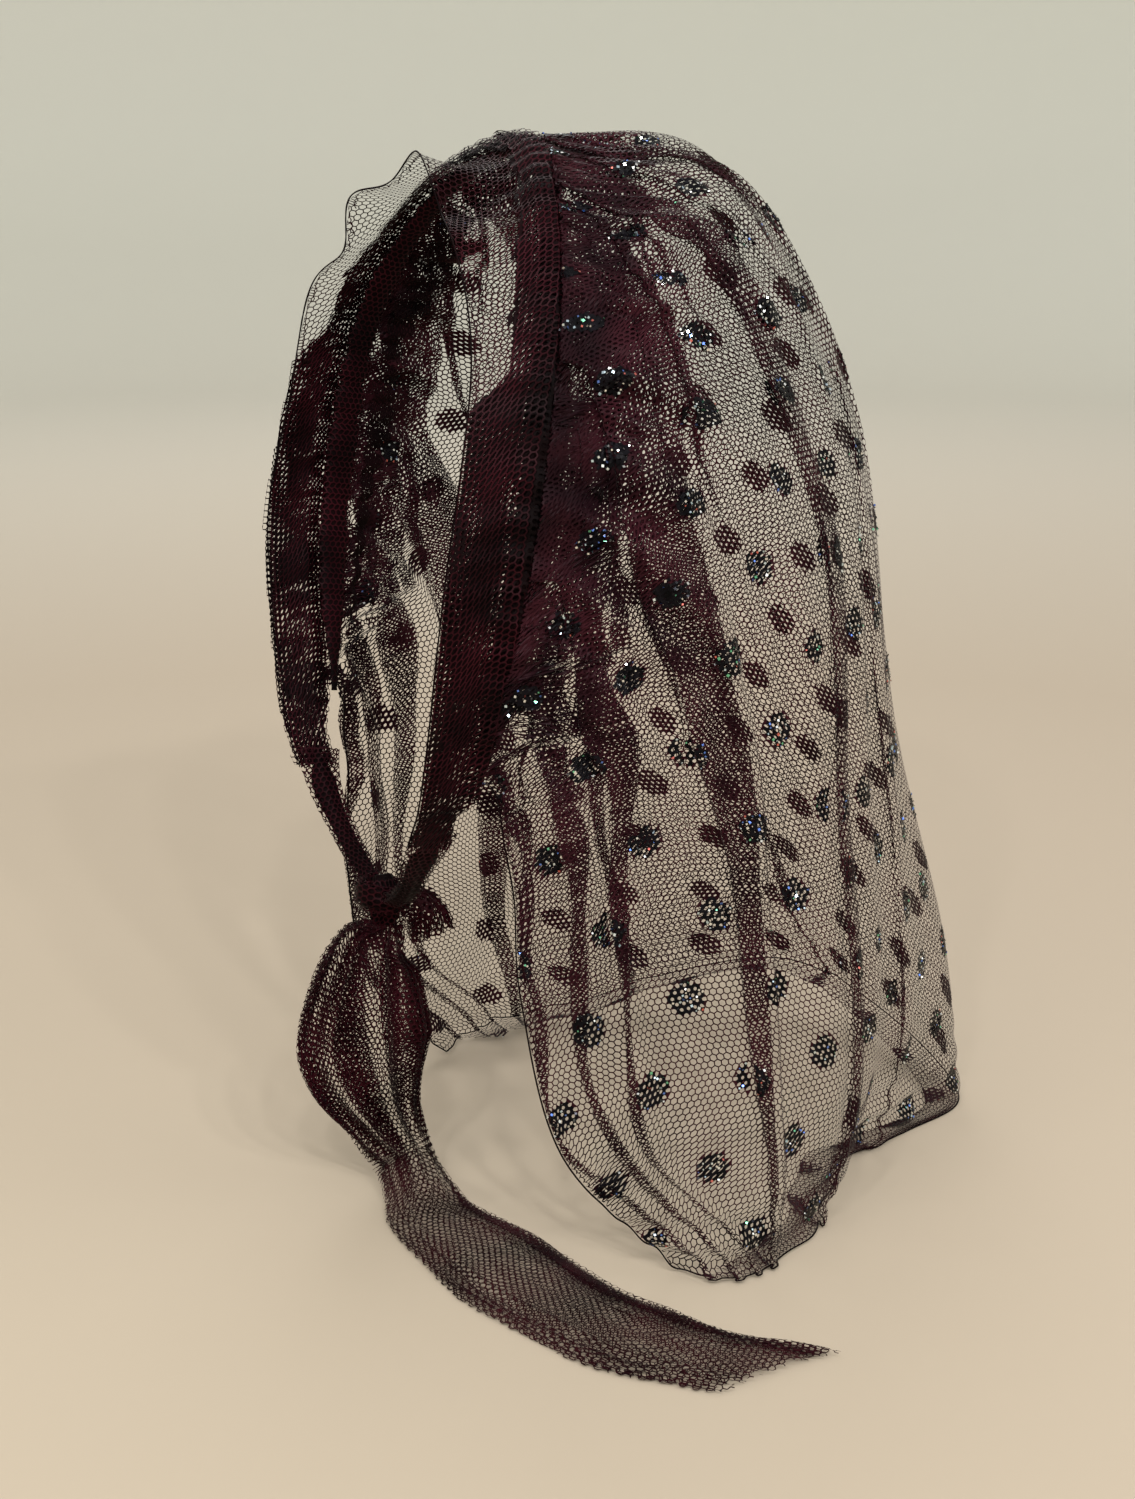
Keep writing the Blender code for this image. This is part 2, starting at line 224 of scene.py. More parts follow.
def threads_at(keep):
    """How many threads meet at each corner that is kept, and where one goes up to the next row."""
    joins = np.zeros(keep.shape, int)
    joins[:, 1:] += keep[:, 1:] & keep[:, :-1]
    joins[:, :-1] += keep[:, 1:] & keep[:, :-1]
    upright = keep[:-1] & keep[1:] & (np.indices(keep[:-1].shape).sum(axis=0) % 2 == 0)
    joins[:-1] += upright
    joins[1:] += upright
    return joins, upright


def net_faces(keep):
    """Triangles of the honeycomb as numbers of those points, with the row that each lies in."""
    rows, columns = keep.shape
    number = np.arange(rows * columns * 3).reshape(rows, columns, 3)
    up = np.indices(keep.shape).sum(axis=0) % 2 == 0
    joins, upright = threads_at(keep)
    row_of = np.broadcast_to(np.arange(rows)[:, None], keep.shape)
    found, places = [], []

    def add(mask, *corners):
        found.append(np.stack([c[mask] for c in corners], axis=1))
        places.append(row_of[: mask.shape[0], : mask.shape[1]][mask])

    solid = keep & (joins > 1)
    add(solid & up, number[..., 0], number[..., 1], number[..., 2])
    add(solid & ~up, number[..., 0], number[..., 2], number[..., 1])
    a, b = number[:, :-1], number[:, 1:]
    level = keep[:, :-1] & keep[:, 1:]
    for mask, quad in (
        (level & up[:, :-1], (a[..., 0], b[..., 2], b[..., 0], a[..., 1])),
        (level & ~up[:, :-1], (a[..., 1], b[..., 0], b[..., 2], a[..., 0])),
    ):
        add(mask, quad[0], quad[1], quad[2])
        add(mask, quad[0], quad[2], quad[3])
    a, b = number[:-1], number[1:]
    add(upright, a[..., 2], a[..., 1], b[..., 1])
    add(upright, a[..., 2], b[..., 1], b[..., 2])
    return np.concatenate(found), np.concatenate(places)


# %% From a path of the cloth to rows of even points
def half_holes(distance):
    """How many steps of half a hole go into a distance."""
    return int(distance / PITCH * 2)


def even_rows(paths, start, reach, extra=()):
    """Steps of half a hole along each path, both ways from its start.

    paths is [row, sample, xyz], start is the sample number of the middle of each row, reach is the
    number of steps each way, and extra holds values [row, sample] to be read at the same points.
    """
    steps = np.arange(-reach, reach + 1) * PITCH / 2
    grid = np.empty((len(paths), len(steps), 3))
    read = [np.empty(grid.shape[:2]) for _ in extra]
    inside = np.empty(grid.shape[:2], bool)
    numbers = np.arange(paths.shape[1])
    for r, path in enumerate(paths):
        run = np.concatenate([[0], np.linalg.norm(np.diff(path, axis=0), axis=1).cumsum()])
        target = steps + np.interp(start[r], numbers, run)
        inside[r] = (target >= 0) & (target <= run[-1])
        for axis in range(3):
            grid[r, :, axis] = np.interp(target, run, path[:, axis])
        for values, source in zip(read, extra):
            values[r] = np.interp(target, run, source[r])
    return grid, inside, read


def new_piece(name, points, faces, slot, *replaced):
    """A mesh piece that rides with the whole snood and stands for the frame's nodes named."""
    used, numbers = np.unique(faces, return_inverse=True)
    mesh = bpy.data.meshes.new(name)
    mesh.from_pydata(points[used].tolist(), [], numbers.reshape(faces.shape).tolist())
    mesh.shade_smooth()
    piece = bpy.data.objects.new(name, mesh)
    bpy.context.scene.collection.objects.link(piece)
    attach(piece, "root")
    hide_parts(*replaced)
    print(name, len(faces), "triangles")
    return piece


# %% [markdown]
# ## Pleating a row of cloth
# A pleat is three layers of the same cloth: over, back under and forward again. So a row runs along
# the cloth, folds back at a pleat's front edge and forward again at its rear edge, and the even steps
# are taken along that folded path. The same net then looks thin where it is single and nearly black
# where it lies in three layers, as real tulle does. A fold of net is round, not a knife edge, so the
# folded path is sampled finely and blurred a little.


# %% Folding rows into pleats
def fold_over(pleats, start, end, roll, slope):
    """The path of every row: how far across it is, how high in mm, and 1 where it is the outer layer.

    pleats holds (front, rear, proud) for every row, start and end are where the rows begin and stop,
    roll is the width of a pleat's rolled edge and slope that of its open side.
    """
    none = np.zeros(len(start))
    across, lifts, outer = [start], [none], [none + 1]
    for front, rear, proud in sorted(pleats, key=lambda pleat: pleat[1].mean()):
        there = rear - front > 1e-4
        front, rear = np.where(there, front, across[-1]), np.where(there, rear, across[-1])
        edge, side = np.minimum(roll, (rear - front) * 0.4), np.minimum(slope, rear - front)
        entry = np.clip(across[-1], front, rear)
        across += [entry, entry, rear, rear, front, front + edge, front, front + edge, front]
        lifts += [none, none, none] + [proud * share for share in (0.4, 0.5, 0.62, 0.74, 0.86, 1)]
        outer += [none + flag for flag in (1, 0, 0, 0, 0, 0, 0, 0, 1)]
        across += [rear + side / 2, rear + 2 * side]
        lifts += [proud, none]
        outer += [none + 1, none + 1]
    stacked = across + [end], lifts + [none], outer + [none + 1]
    return [np.stack(columns, axis=1) for columns in stacked]


def blurred(values, spread):
    """Every row smoothed over its neighbouring samples."""
    offsets = np.arange(-3 * spread, 3 * spread + 1)
    weights = np.exp(-0.5 * (offsets / spread) ** 2)
    padded = np.pad(values, ((0, 0), (3 * spread, 3 * spread)), "edge")
    count = values.shape[1]
    return sum(w * padded[:, k : k + count] for k, w in enumerate(weights / weights.sum()))


def sampled(folds, mm_across, samples, spread):
    """Folded rows as even samples, and how far along each row its corners lie (0 to 1)."""
    run = np.hypot(np.diff(folds[0], axis=1) * mm_across, np.diff(folds[1], axis=1)).cumsum(axis=1)
    run = np.concatenate([np.zeros((len(run), 1)), run], axis=1)
    run = run / run[:, -1:]
    even = np.linspace(0, 1, samples)
    rows = [np.stack([np.interp(even, r, v) for r, v in zip(run, values)]) for values in folds]
    return [blurred(row, spread) for row in rows], run


# %% [markdown]
# ## Pleats and gathers of the bag
# The bag falls in a few long pleats on each side. Between them the gathers of the seam fan out as
# short narrow pleats, which open and die out at different heights. Those near the front end soonest,
# because further down they would run across the long ones.

# %% Long pleats of one side
PLEATS = (  # front edge, rear edge (shares of the side) and how proud in mm, each from seam to floor
    (
        (0.012, 0.018, 0.012, 0.006, 0.010, 0.12),
        (0.040, 0.045, 0.034, 0.022, 0.028, 0.14),
        (1, 2, 3, 3, 3, 2),
    ),
    (
        (0.12, 0.090, 0.075, 0.062, 0.068, 0.20),
        (0.18, 0.138, 0.108, 0.084, 0.086, 0.216),
        (1, 3, 5, 4, 4, 2),
    ),
    (
        (0.27, 0.175, 0.135, 0.118, 0.115, 0.27),
        (0.37, 0.255, 0.18, 0.136, 0.129, 0.283),
        (1, 4, 5, 4, 3, 2),
    ),
    (
        (0.49, 0.315, 0.26, 0.275, 0.30, 0.335),
        (0.64, 0.435, 0.355, 0.345, 0.345, 0.36),
        (2, 5, 6, 6, 5, 2),
    ),
    (
        (0.75, 0.63, 0.55, 0.545, 0.552, 0.555),
        (0.80, 0.67, 0.580, 0.572, 0.573, 0.57),
        (2, 3, 5, 5, 5, 2),
    ),
    (
        (0.89, 0.82, 0.75, 0.765, 0.783, 0.788),
        (0.92, 0.84, 0.762, 0.778, 0.795, 0.80),
        (2, 2, 2, 2, 2, 1),
    ),
)
HEM_TUCK = 14 * MM  # the net goes on this far along the floor under the hem
row_heights = np.arange(-HEM_TUCK, height.max(), ROW_STEP)
random = np.random.default_rng(7)


def over_rows(side, shares, *values):
    """A pleat's edge, known at each level, read again at each row's height, with values that go with it."""
    places = 4 * shares if side > 0 else 8 - 4 * shares
    climb = np.array([np.interp(place, place_axis, height[:, k]) for k, place in enumerate(places)])
    return [np.interp(row_heights, climb[::-1], v[::-1]) for v in (shares, *values)]


def long_pleats(side):
    """Front edge, rear edge and height in mm of each long pleat at every row."""
    found = []
    for number, pleat in enumerate(PLEATS):
        front, rear, proud = (curve(values, level_axis) for values in pleat)
        settled = fade(level_axis) * fade(5 - level_axis)
        sway = 0.006 * np.sin(4.3 * level_axis + 2.4 * number + side) * settled
        breath = 0.005 * np.sin(6.1 * level_axis + 1.7 * number) * settled
        front, proud = over_rows(side, np.maximum(front + sway, 0.004), proud)
        found.append((front, over_rows(side, rear + sway + breath)[0], proud))
    return found


# %% Short pleats that fan out from the seam
FAN = (1.0, 2.3, 2.9, 3.2, 3.4, 3.4)  # the power that a fold's share is raised to, from the seam down
SHORT_PLEATS = (  # share of the side at the seam, width there as a share, and the level where it ends
    (0.22, 0.014, 0.7), (0.33, 0.012, 0.8), (0.44, 0.016, 1.0), (0.55, 0.013, 1.2), (0.62, 0.015, 2.6),
    (0.69, 0.012, 1.5), (0.735, 0.015, 2.4), (0.78, 0.012, 1.3), (0.83, 0.014, 3.0), (0.87, 0.012, 1.8),
    (0.93, 0.013, 2.2), (0.965, 0.012, 1.2),
)


def short_pleats(side):
    """The stitched gathers: narrow pleats that fan out and die out one after another."""
    found = []
    for number, (share, width, end) in enumerate(SHORT_PLEATS):
        end = end + 0.3 * math.sin(5 * number + side)
        middle = share ** curve(FAN, level_axis) + 0.005 * np.sin(2.6 * level_axis + 1.9 * number + side)
        width = width * fade(1.6 * (1 - level_axis / end)) * np.ones_like(level_axis)
        proud = 0.6 + 2.4 * fade(level_axis / 0.6) * fade(1.2 - level_axis / end)
        front, width, proud = over_rows(side, middle - width / 2, width, proud)
        found.append((front, front + width, proud))
    return found


# %% The folded path of every row
EDGE_ROLL = 0.006  # share of the side that the rolled edge of a pleat takes up
PLEAT_SLOPE = 0.012
FRONT_TURN = 0.014  # share of the side that is turned in along the front edge


def folded_side(side):
    """The path of every row from the front edge to the back crease, in places, and what goes with it."""
    none = np.zeros(len(row_heights))
    folds = fold_over(long_pleats(side) + short_pleats(side), none, none + 1, EDGE_ROLL, PLEAT_SLOPE)
    turned_in = none + FRONT_TURN, none - 0.5, none
    shares, lifts, outer = (np.column_stack([first, rest]) for first, rest in zip(turned_in, folds))
    return [4 * shares if side > 0 else 8 - 4 * shares, lifts, outer]


near, far = folded_side(1), folded_side(-1)
folds = [np.concatenate([one, other[:, -2::-1]], axis=1) for one, other in zip(near, far)]
print("each row of the bag turns at", folds[0].shape[1], "points")

# %% Even samples along the folded rows
SAMPLES = 3600
MM_A_PLACE = 75
FOLD_BLUR = 2  # samples
(sample_places, sample_lifts, sample_outer), corners_at = sampled(folds, MM_A_PLACE, SAMPLES, FOLD_BLUR)
crease_sample = corners_at[:, near[0].shape[1] - 1] * (SAMPLES - 1)
print("samples from fold to fold:", round(SAMPLES / folds[0].shape[1]))

# %% [markdown]
# Next the rows are laid on the bag's surface and moved out along its normal by their height. Three
# more things move them: a softness left over from the gathers, the ripples where the hem is crushed
# against the floor, and a slow unevenness that no hand-sewn piece is without.

# %% Where each sample lies between the seam and the hem
LEVEL_UNIT = 0.05  # past the seam or the hem, one level is this many metres


def level_rows():
    """The level at each row's height for every place of the axis, [row, place]."""
    levels = np.empty((len(row_heights), len(place_axis)))
    for p, climb in enumerate(height):
        levels[:, p] = np.interp(row_heights, climb[::-1], level_axis[::-1])
        levels[:, p] -= np.maximum(row_heights - climb[0], 0) / LEVEL_UNIT
    return levels + np.maximum(-row_heights, 0)[:, None] / LEVEL_UNIT


row_levels = level_rows()
sample_levels = np.stack([np.interp(p, place_axis, row) for p, row in zip(sample_places, row_levels)])


# %% Gathers, ripples and unevenness
def waves(places, drops, table):
    """A sum of waves: how many in a side, height in mm, how far down they have died, start, wander."""
    total = 0
    for count, tall, died, start, wander in table:
        phase = 2 * math.pi * (count * places / 4 + start + wander * np.sin(1.7 * places + 5 * start))
        total = total + tall * MM * np.exp(-((drops / died) ** 2)) * np.sin(phase)
    return total


GATHER_RUN = 0.05  # the gathers open out over stretches of this many metres below the seam
seam_climb = np.interp(sample_places, place_axis, height[:, 0])
sample_drop = np.maximum(seam_climb - row_heights[:, None], 0) / GATHER_RUN
GATHERS = (
    (34, 0.9, 0.6, 0.1, 0.9),
    (19, 1.3, 1.2, 0.4, 0.8),
    (10, 1.8, 2.4, 0.8, 0.5),
    (4.5, 1.8, 9.0, 0.3, 0.5),
)
gather_rise = 0.35 + 0.65 * fade(sample_drop / 0.35)
lift = sample_lifts * MM + waves(sample_places, sample_drop, GATHERS) * gather_rise
crush = fade(1 - (row_heights[:, None] - 4 * MM) / (42 * MM)) * (0.6 + 0.4 * np.sin(2.3 * sample_places + 1))
ripple = np.sin(2 * math.pi * row_heights[:, None] / (12 * MM) + 1.9 * np.sin(1.3 * sample_places))
lift = lift + crush * ripple * 1.6 * MM
lift = lift + 2.5 * MM * np.exp(-((np.maximum(sample_levels, 0) / 0.22) ** 2))

# %% The folded rows in space
places, levels = sample_places, np.clip(sample_levels, 0, 5)
base = surface(BAG, places, levels)
step = 0.01
normal = np.cross(
    surface(BAG, places + step, levels) - surface(BAG, places - step, levels),
    surface(BAG, places, levels - step) - surface(BAG, places, levels + step),
)
normal = unit(normal)
middle, across, seam_normal, halves = seam_frame(places)
past_seam = np.clip(-sample_levels * LEVEL_UNIT, 0, halves[..., 0] + SEAM_GAP)
roll_share = past_seam / (halves[..., 0] + SEAM_GAP)
over_roll = (halves[..., 1] - 0.6 * MM) * np.sin(roll_share * math.pi / 2)
base = base - across * past_seam[..., None] + seam_normal * over_roll[..., None]
inward = unit((np.array((0, 0.04, 0)) - base) * (1, 1, 0))
past_hem = np.maximum(sample_levels - 5, 0) * LEVEL_UNIT
bag_paths = base + normal * lift[..., None] + inward * past_hem[..., None]
bag_paths[..., 2] = np.maximum(bag_paths[..., 2], FLOOR + 0.5 * MM + 0.8 * MM * crush * (1 + ripple))
print("bag paths:", bag_paths.shape[0], "rows of", bag_paths.shape[1], "samples")

# %% The bag's grid of half steps
BAG_REACH = half_holes(1.0)
bag_grid, bag_inside, (grid_levels, grid_places, grid_outer, grid_drop) = even_rows(
    bag_paths, crease_sample, BAG_REACH, (sample_levels, sample_places, sample_outer, sample_drop)
)
roll_depth = seam_frame(grid_places)[3][..., 0] + SEAM_GAP
tuck_reach = HEM_TUCK * fade((np.minimum(grid_places, 8 - grid_places) - 0.3) / 0.9) + 0.5 * MM
bag_keep = bag_inside & (-grid_levels * LEVEL_UNIT < roll_depth)
bag_keep = bag_keep & ((grid_levels - 5) * LEVEL_UNIT < tuck_reach)
bag_keep[0] = bag_keep[-1] = False
print("holes in the bag:", int(bag_keep.sum() / 2))

# %% [markdown]
# ## The dots
# The dots are glued on in staggered rows. Glue and black glitter thicken the threads there, but the
# holes stay open. The bag has most of its dots in full view, so their places are counted along its
# outside, and the layers inside a pleat stay plain. A dot that meets a fold is cut off by it.

# %% Dots along the cloth
DOT_STEP = (29 * MM, 25 * MM)
DOT_RADIUS = 5.1 * MM
DOT_THREAD = 1.05 * MM
DOT_STRAY, DOT_UNEVEN = 1.4 * MM, 0.35 * MM  # how far a dot may lie off its place, or differ in radius


def in_dots(along, up):
    """Which points of the cloth lie in a dot, from their distances along a row and up from the hem."""
    row = np.round(up / DOT_STEP[1]).astype(int)
    shift = (row % 2) * 0.5
    column = np.round(along / DOT_STEP[0] - shift).astype(int)
    chances = random.uniform(-1, 1, (64, 128, 3))
    own = chances[row % 64, column % 128] * (DOT_STRAY, DOT_STRAY, DOT_UNEVEN)
    x = along - (column + shift) * DOT_STEP[0] - own[..., 0]
    y = up - row * DOT_STEP[1] - own[..., 1]
    return np.hypot(x, y) < DOT_RADIUS + own[..., 2]


row_points = surface(BAG, np.broadcast_to(place_axis, row_levels.shape), np.clip(row_levels, 0, 5))
around = np.linalg.norm(np.diff(row_points, axis=1), axis=-1).cumsum(axis=1)
around = np.concatenate([np.zeros((len(around), 1)), around], axis=1)
around = around - around[:, CREASE, None]
along = np.stack([np.interp(p, place_axis, row) for p, row in zip(grid_places, around)])
up_the_cloth = np.broadcast_to(row_heights[:, None] + DOT_STEP[1] / 2, along.shape)
seen_outside = grid_outer > 0.5
dotted = in_dots(along, up_the_cloth) & seen_outside
PLEATED_THREAD = 1.35 * THREAD  # inside a pleat the net is drawn together
drawn_in = 1 + 0.6 * np.exp(-((grid_drop / 0.6) ** 2))  # and so it is by the seam
bag_width = np.where(dotted, DOT_THREAD, np.where(seen_outside, THREAD, PLEATED_THREAD) * drawn_in)
bag_corners = net_corners(bag_grid, bag_width)
bag_faces, bag_face_rows = net_faces(bag_keep)
print("share of the cloth under dots:", round(float(dotted[bag_keep].mean()), 3))

# %% [markdown]
# ## Materials
# The thread is a fine filament dyed burgundy. It is nearly black in the shade, so most of what is
# seen of it is its sheen. A slow noise makes some of it redder, as worn net is, and a fine one gives
# each thread its own glint. A darker copy of the thread colour is painted shade, for net that lies
# among many layers. The glitter is small mirror flakes of a few colours on black glue.


# %% Thread, glue and flakes
def burgundy(name, deep, light, roughness, sheen=0.05, patch=45.0, fine=2600.0, relief=0.25):
    """A soft dyed finish: two tones in slow patches, with a fine relief."""
    material = bpy.data.materials.new(name)
    material.use_nodes = True
    nodes, links = material.node_tree.nodes, material.node_tree.links
    shader = nodes["Principled BSDF"]
    where = nodes.new("ShaderNodeTexCoord")
    slow, ramp = nodes.new("ShaderNodeTexNoise"), nodes.new("ShaderNodeValToRGB")
    slow.inputs["Scale"].default_value = patch
    slow.inputs["Detail"].default_value = 3.0
    ramp.color_ramp.elements[0].position, ramp.color_ramp.elements[1].position = 0.35, 0.68
    ramp.color_ramp.elements[0].color, ramp.color_ramp.elements[1].color = (*deep, 1), (*light, 1)
    grain, bump = nodes.new("ShaderNodeTexNoise"), nodes.new("ShaderNodeBump")
    grain.inputs["Scale"].default_value = fine
    bump.inputs["Strength"].default_value = relief
    bump.inputs["Distance"].default_value = 0.1 * MM
    links.new(where.outputs["Object"], slow.inputs["Vector"])
    links.new(where.outputs["Object"], grain.inputs["Vector"])
    links.new(slow.outputs["Fac"], ramp.inputs["Fac"])
    links.new(ramp.outputs["Color"], shader.inputs["Base Color"])
    links.new(grain.outputs["Fac"], bump.inputs["Height"])
    links.new(bump.outputs["Normal"], shader.inputs["Normal"])
    shader.inputs["Roughness"].default_value = roughness
    shader.inputs["Specular IOR Level"].default_value = 0.05
    shader.inputs["Sheen Weight"].default_value = sheen
    shader.inputs["Sheen Roughness"].default_value = 0.4
    return material


def flake(name, colour):
    material = bpy.data.materials.new(name)
    material.use_nodes = True
    nodes, links = material.node_tree.nodes, material.node_tree.links
    shader = nodes["Principled BSDF"]
    speck, ramp = nodes.new("ShaderNodeTexNoise"), nodes.new("ShaderNodeValToRGB")
    speck.inputs["Scale"].default_value = 900.0
    ramp.color_ramp.elements[0].color = (*[c * 0.6 for c in colour], 1)
    ramp.color_ramp.elements[1].color = (*colour, 1)
    links.new(speck.outputs["Fac"], ramp.inputs["Fac"])
    links.new(ramp.outputs["Color"], shader.inputs["Base Color"])
    shader.inputs["Metallic"].default_value = 1.0
    shader.inputs["Roughness"].default_value = 0.28
    return material


plain_thread = burgundy("plain_thread", (0.008, 0.0010, 0.0019), (0.029, 0.0036, 0.0065), 0.5, 0.02)
dotted_thread = burgundy("dotted_thread", (0.008, 0.0018, 0.0032), (0.031, 0.0062, 0.0098), 0.45, 0.03)
# Painted shade: the same burgundy thread made darker, for net that lies among layers that shade it.
painted_shade_thread = burgundy("painted_shade_thread", (0.0018, 0.0005, 0.0007), (0.006, 0.0010, 0.0016), 0.65, 0.01)
glue = burgundy("black_glue", (0.0015, 0.0015, 0.002), (0.006, 0.005, 0.007), 0.35, 0.0, 400.0, 1800.0, 0.9)
FLAKE_COLOURS = {
    "silver": (0.95, 0.95, 0.92),
    "ice": (0.70, 0.86, 0.95),
    "blue": (0.18, 0.32, 0.90),
    "green": (0.25, 0.75, 0.45),
    "red": (0.80, 0.22, 0.18),
    "black": (0.03, 0.03, 0.035),
}
FLAKE_SHARES = (0.33, 0.12, 0.09, 0.06, 0.06, 0.34)
flakes = [flake(f"{name}_flake", colour) for name, colour in FLAKE_COLOURS.items()]
print("materials:", len(bpy.data.materials))

# %% [markdown]
# ## The bag's pieces
# The bag is one cloth, but a mesh of several hundred thousand triangles is slow to work with, so its
# net is parted between rows of holes into five bands, which meet without a gap. For each, the size
# that its cloth has when it is laid flat is printed, and the area of the threads alone is worked out,
# because the holes of a net have none.


# %% Net pieces and their flat size
def thread_area(width, keep):
    """The flat area of the threads: each corner has half a hole's share, less where threads are cut off."""
    covered = (1 - (1 - width / PITCH) ** 2) * threads_at(keep)[0] / 3
    return float(covered.sum() * PITCH**2 * math.sqrt(3) / 4)


def declare_net(piece, width, keep):
    rows = keep.any(axis=1).sum()
    flat = float(keep.sum() / rows * PITCH / 2), float(rows * ROW_STEP)
    area = min(max(thread_area(width, keep), 0.301 * flat[0] * flat[1]), flat[0] * flat[1])
    print(piece.name, "cut to", [round(side / MM) for side in flat], "mm")


def net_piece(name, grid, keep, width, material, slot, replaced):
    """A whole net in one piece."""
    faces, _ = net_faces(keep)
    piece = new_piece(name, net_corners(grid, width).reshape(-1, 3), faces, slot, replaced)
    piece.data.materials.append(material)
    declare_net(piece, width, keep)
    return piece


# %% The bag in bands
BAG_BANDS = ("bag_hem", "bag_low", "bag_middle", "bag_high", "bag_crown")
share_of_faces = np.searchsorted(np.sort(bag_face_rows), np.arange(len(bag_keep) + 1)) / len(bag_faces)
cuts = np.searchsorted(share_of_faces, np.linspace(0, 1, len(BAG_BANDS) + 1))
row_numbers = np.arange(len(bag_keep))
for name, first, last in zip(BAG_BANDS, cuts, cuts[1:]):
    chosen = (bag_face_rows >= first) & (bag_face_rows < last)
    piece = new_piece(name, bag_corners.reshape(-1, 3), bag_faces[chosen], "dotted_net", "bag")
    piece.data.materials.append(dotted_thread)
    own = bag_keep & ((row_numbers >= first) & (row_numbers < last))[:, None]
    declare_net(piece, bag_width, own)

# %% [markdown]
# ## Glitter
# The glue sits on the outer face of the net, so a second skin of thick black threads lies just
# outside the first one there, and the inside of each dot stays brown. Small flakes lie on it, each
# tilted its own way. Only those that face a lamp flash, so the sparkle moves with the viewer.


# %% Glue and flakes on the dots
FLAKE_HALF = (0.28 * MM, 0.58 * MM)
FLAKE_TILT = 0.45
FLAKE_RISE, GLUE_RISE = 0.35 * MM, 0.14 * MM  # above the net's own threads
FLAKES_A_CORNER = 0.5


def cloth_normal(grid):
    return unit(np.cross(np.gradient(grid, axis=1), np.gradient(grid, axis=0)))


def sparkle(centres, normals):
    """A small square flake on each point, tilted at random."""
    count = len(centres)
    tilted = unit(normals + random.normal(0, FLAKE_TILT, (count, 3)))
    side = unit(np.cross(tilted, random.normal(0, 1, (count, 3))))
    other = np.cross(tilted, side)
    half = random.uniform(*FLAKE_HALF, (count, 1))
    middle = centres + normals * FLAKE_RISE
    to_corners = side * half, other * half, -side * half, -other * half
    corners = np.stack([middle + to_corner for to_corner in to_corners], axis=1)
    number = np.arange(count * 4).reshape(count, 4)
    return corners.reshape(-1, 3), np.concatenate([number[:, [0, 1, 2]], number[:, [0, 2, 3]]])


glued = bag_keep & dotted
bag_normal = cloth_normal(bag_grid)
glue_points = (bag_corners + bag_normal[:, :, None] * GLUE_RISE).reshape(-1, 3)
glue_faces, _ = net_faces(glued)
chosen = glued & (random.random(glued.shape) < FLAKES_A_CORNER)
flake_points, flake_faces = sparkle(bag_corners[chosen].mean(axis=1), bag_normal[chosen])
flake_points[:, 2] = np.maximum(flake_points[:, 2], FLOOR + 0.05 * MM)
glitter = new_piece(
    "glitter_dots",
    np.concatenate([glue_points, flake_points]),
    np.concatenate([glue_faces, flake_faces + len(glue_points)]),
    "dotted_net",
)
for material in (glue, *flakes):
    glitter.data.materials.append(material)
kinds = np.zeros(len(glue_faces) + len(flake_faces), int)
flake_kinds = 1 + random.choice(len(flakes), size=len(flake_faces) // 2, p=FLAKE_SHARES)
kinds[len(glue_faces) :] = np.tile(flake_kinds, 2)
glitter.data.polygons.foreach_set("material_index", kinds)
print("flakes:", len(flake_kinds))

# %% [markdown]
# ## The hem and the front edges
# Where the cloth is folded, along its hem and its two front edges, a line of doubled thread can be
# seen. It is made as a thin tube along the cloth that lies there, in and out of every pleat, in the
# darker thread colour that is painted shade. Without it the holes that the fold cuts would look like
# a fringe.


# %% Tubes along a line of cloth
def tube(name, rings, slot, replaced, material):
    """A closed tube through rings of points, [ring, side, xyz], with closed ends."""
    count, sides = rings.shape[:2]
    number = np.arange(count * sides).reshape(count, sides)
    after = np.roll(number, -1, axis=1)
    a, b, c, d = number[:-1], after[:-1], after[1:], number[1:]
    faces = [np.stack([a, b, c], axis=-1).reshape(-1, 3), np.stack([a, c, d], axis=-1).reshape(-1, 3)]
    points = np.concatenate([rings.reshape(-1, 3), rings[[0, -1]].mean(axis=1)])
    for ring, centre, turn in ((number[0], count * sides, 1), (number[-1], count * sides + 1, -1)):
        fan = np.stack([np.full(sides, centre), np.roll(ring, -turn), ring], axis=1)
        faces.append(fan)
    piece = new_piece(name, points, np.concatenate(faces), slot, *replaced)
    piece.data.materials.append(material)
    return piece


def even_path(points, step):
    """Points a fixed step apart along a polyline."""
    run = np.concatenate([[0], np.linalg.norm(np.diff(points, axis=0), axis=1).cumsum()])
    target = np.arange(0, run[-1], step)
    return np.stack([np.interp(target, run, points[:, axis]) for axis in range(3)], axis=1)


def thread_tube(name, path, radius, slot, replaced):
    """A thin closed tube along a polyline."""
    path = even_path(path, EDGE_THREAD_STEP)
    along = unit(np.gradient(path, axis=0))
    side = unit(np.cross(along, (0.3, 0.2, 1.0)))
    out = np.cross(side, along)
    turns = np.linspace(0, 2 * math.pi, 4, endpoint=False)[:, None]
    rings = path[:, None] + radius * (side[:, None] * np.cos(turns) + out[:, None] * np.sin(turns))
    # The fold threads are coloured with painted shade, the darker copy of the thread.
    tube(name, rings, slot, replaced, painted_shade_thread)


# %% The threads along the folds
EDGE_THREAD_STEP = 1.2 * MM
HEM_THREAD, FRONT_THREAD, RIM_THREAD = 0.28 * MM, 0.30 * MM, 0.28 * MM  # radii
hem_row = int(np.abs(row_heights).argmin())
thread_tube("hem_thread", bag_paths[hem_row], HEM_THREAD, "dotted_net", ["bag"])
for name, corner in (("near_front_thread", 1), ("far_front_thread", -2)):
    turned = np.round(corners_at[:, corner] * (SAMPLES - 1)).astype(int)
    every_row = np.arange(len(bag_paths))
    below_seam = (every_row >= hem_row) & (sample_levels[every_row, turned] > 0)
    thread_tube(name, bag_paths[every_row, turned][below_seam], FRONT_THREAD, "dotted_net", ["bag"])
